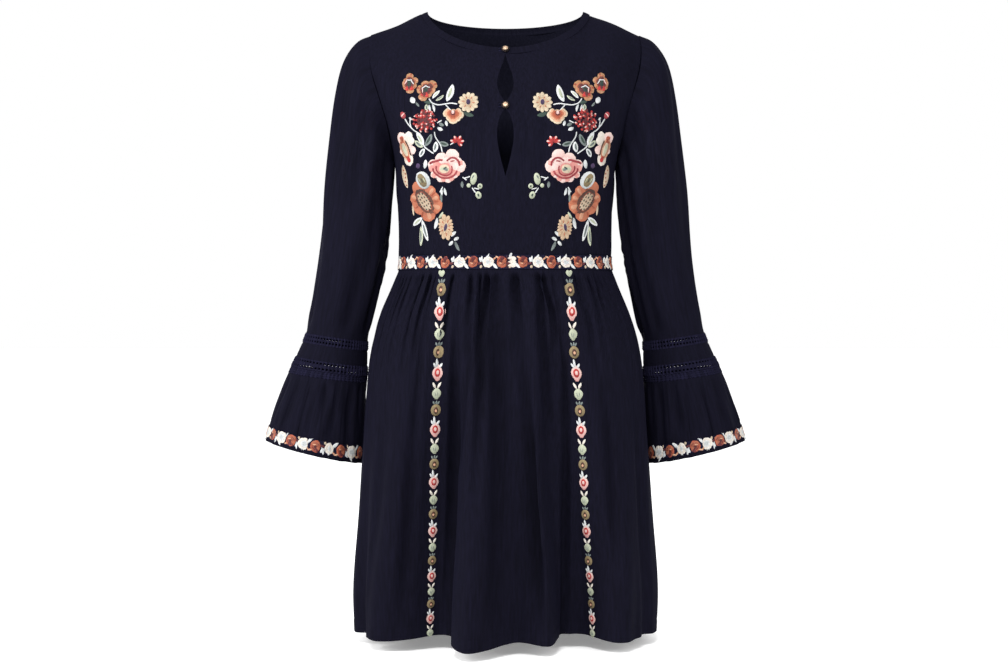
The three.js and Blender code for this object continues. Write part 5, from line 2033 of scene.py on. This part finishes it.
# %% [markdown]
# ## Flowers of the ruffle tapes
#
# The same two flowers go round each ruffle's tape, a little further apart. The tape lies up to some
# millimetres inside or outside the form that it is laid on, because the ruffle's even waves have been taken
# out of it. So the thread is dropped from higher up than on the chest.

# %% Ruffle tape embroidery
tape_middle = sum(RUFFLE_TAPE) / 2
RUFFLE_REPEAT = 41.5
FIRST_RUFFLE_FLOWER = 11.0
for side_name, side in (("left", 1), ("right", -1)):

    def arm_axis(point, side=side):
        return vector(0 * point[:, 0] + side * 262, 0 * point[:, 1] + 44, 0 * point[:, 2] - 594)

    ring, turn_length = ring_form(ruffle_point, tape_middle, side, arm_axis)
    repeats = round(turn_length / RUFFLE_REPEAT)
    pitch = turn_length / repeats
    work = Embroidery(0.15)
    for n in range(repeats):
        start = n * pitch + FIRST_RUFFLE_FLOWER
        cream_rose(work, start + 0.52 * pitch, tape_middle, 17.2)
        rust_flower(work, start, tape_middle, 16.4, 0.98)
    name = f"ruffle_tape_{side_name}_flowers"
    work.finish(name, ring, ruffle_tapes[side_name], above=22)
    print("ruffle tape: round", round(turn_length), "mm, repeats", repeats)

# %% [markdown]
# ## Cuts of the dress
#
# The widths are measured all round where a piece is a tube. The bodice panels and the sleeves are shaped,
# so they fill a share of their rectangle, and the skirt panels are a little flared. The loop below only
# takes each arm's pieces and its tape out again and does nothing more with them.

# %% Cuts
for side_name in ("left", "right"):
    sleeve, upper, band, lower, header, ruffle = cloth_pieces[side_name]
    tape = ruffle_tapes[side_name]

# %% [markdown]
# ## Floor
#
# A plain white sheet carries the soft shadow under the hem. A real studio sweep curves up behind the dress;
# here the white room does for the background, so the sheet can stay flat. It glows a little, so that it is
# as white as the room; the glow is painted light, which also lightens the shadow under the hem as light
# bounced off the paper would.

# %% Floor
paper, tree, shader = new_material("white_paper")
shader.inputs["Base Color"].default_value = (1.0, 1.0, 1.0, 1)
shader.inputs["Emission Color"].default_value = (1, 1, 1, 1)
# The glow is painted light: it whitens the sheet and lightens the shadow under the hem.
shader.inputs["Emission Strength"].default_value = 0.22
shader.inputs["Roughness"].default_value = 0.95
floor_mesh = bpy.data.meshes.new("floor")
half = 8.0
floor_mesh.from_pydata([(-half, -3, FLOOR_Z), (half, -3, FLOOR_Z), (half, 14, FLOOR_Z), (-half, 14, FLOOR_Z)], [],
                       [(0, 1, 2, 3)])
floor_mesh.materials.append(paper)
floor = bpy.data.objects.new("floor", floor_mesh)
bpy.context.scene.collection.objects.link(floor)
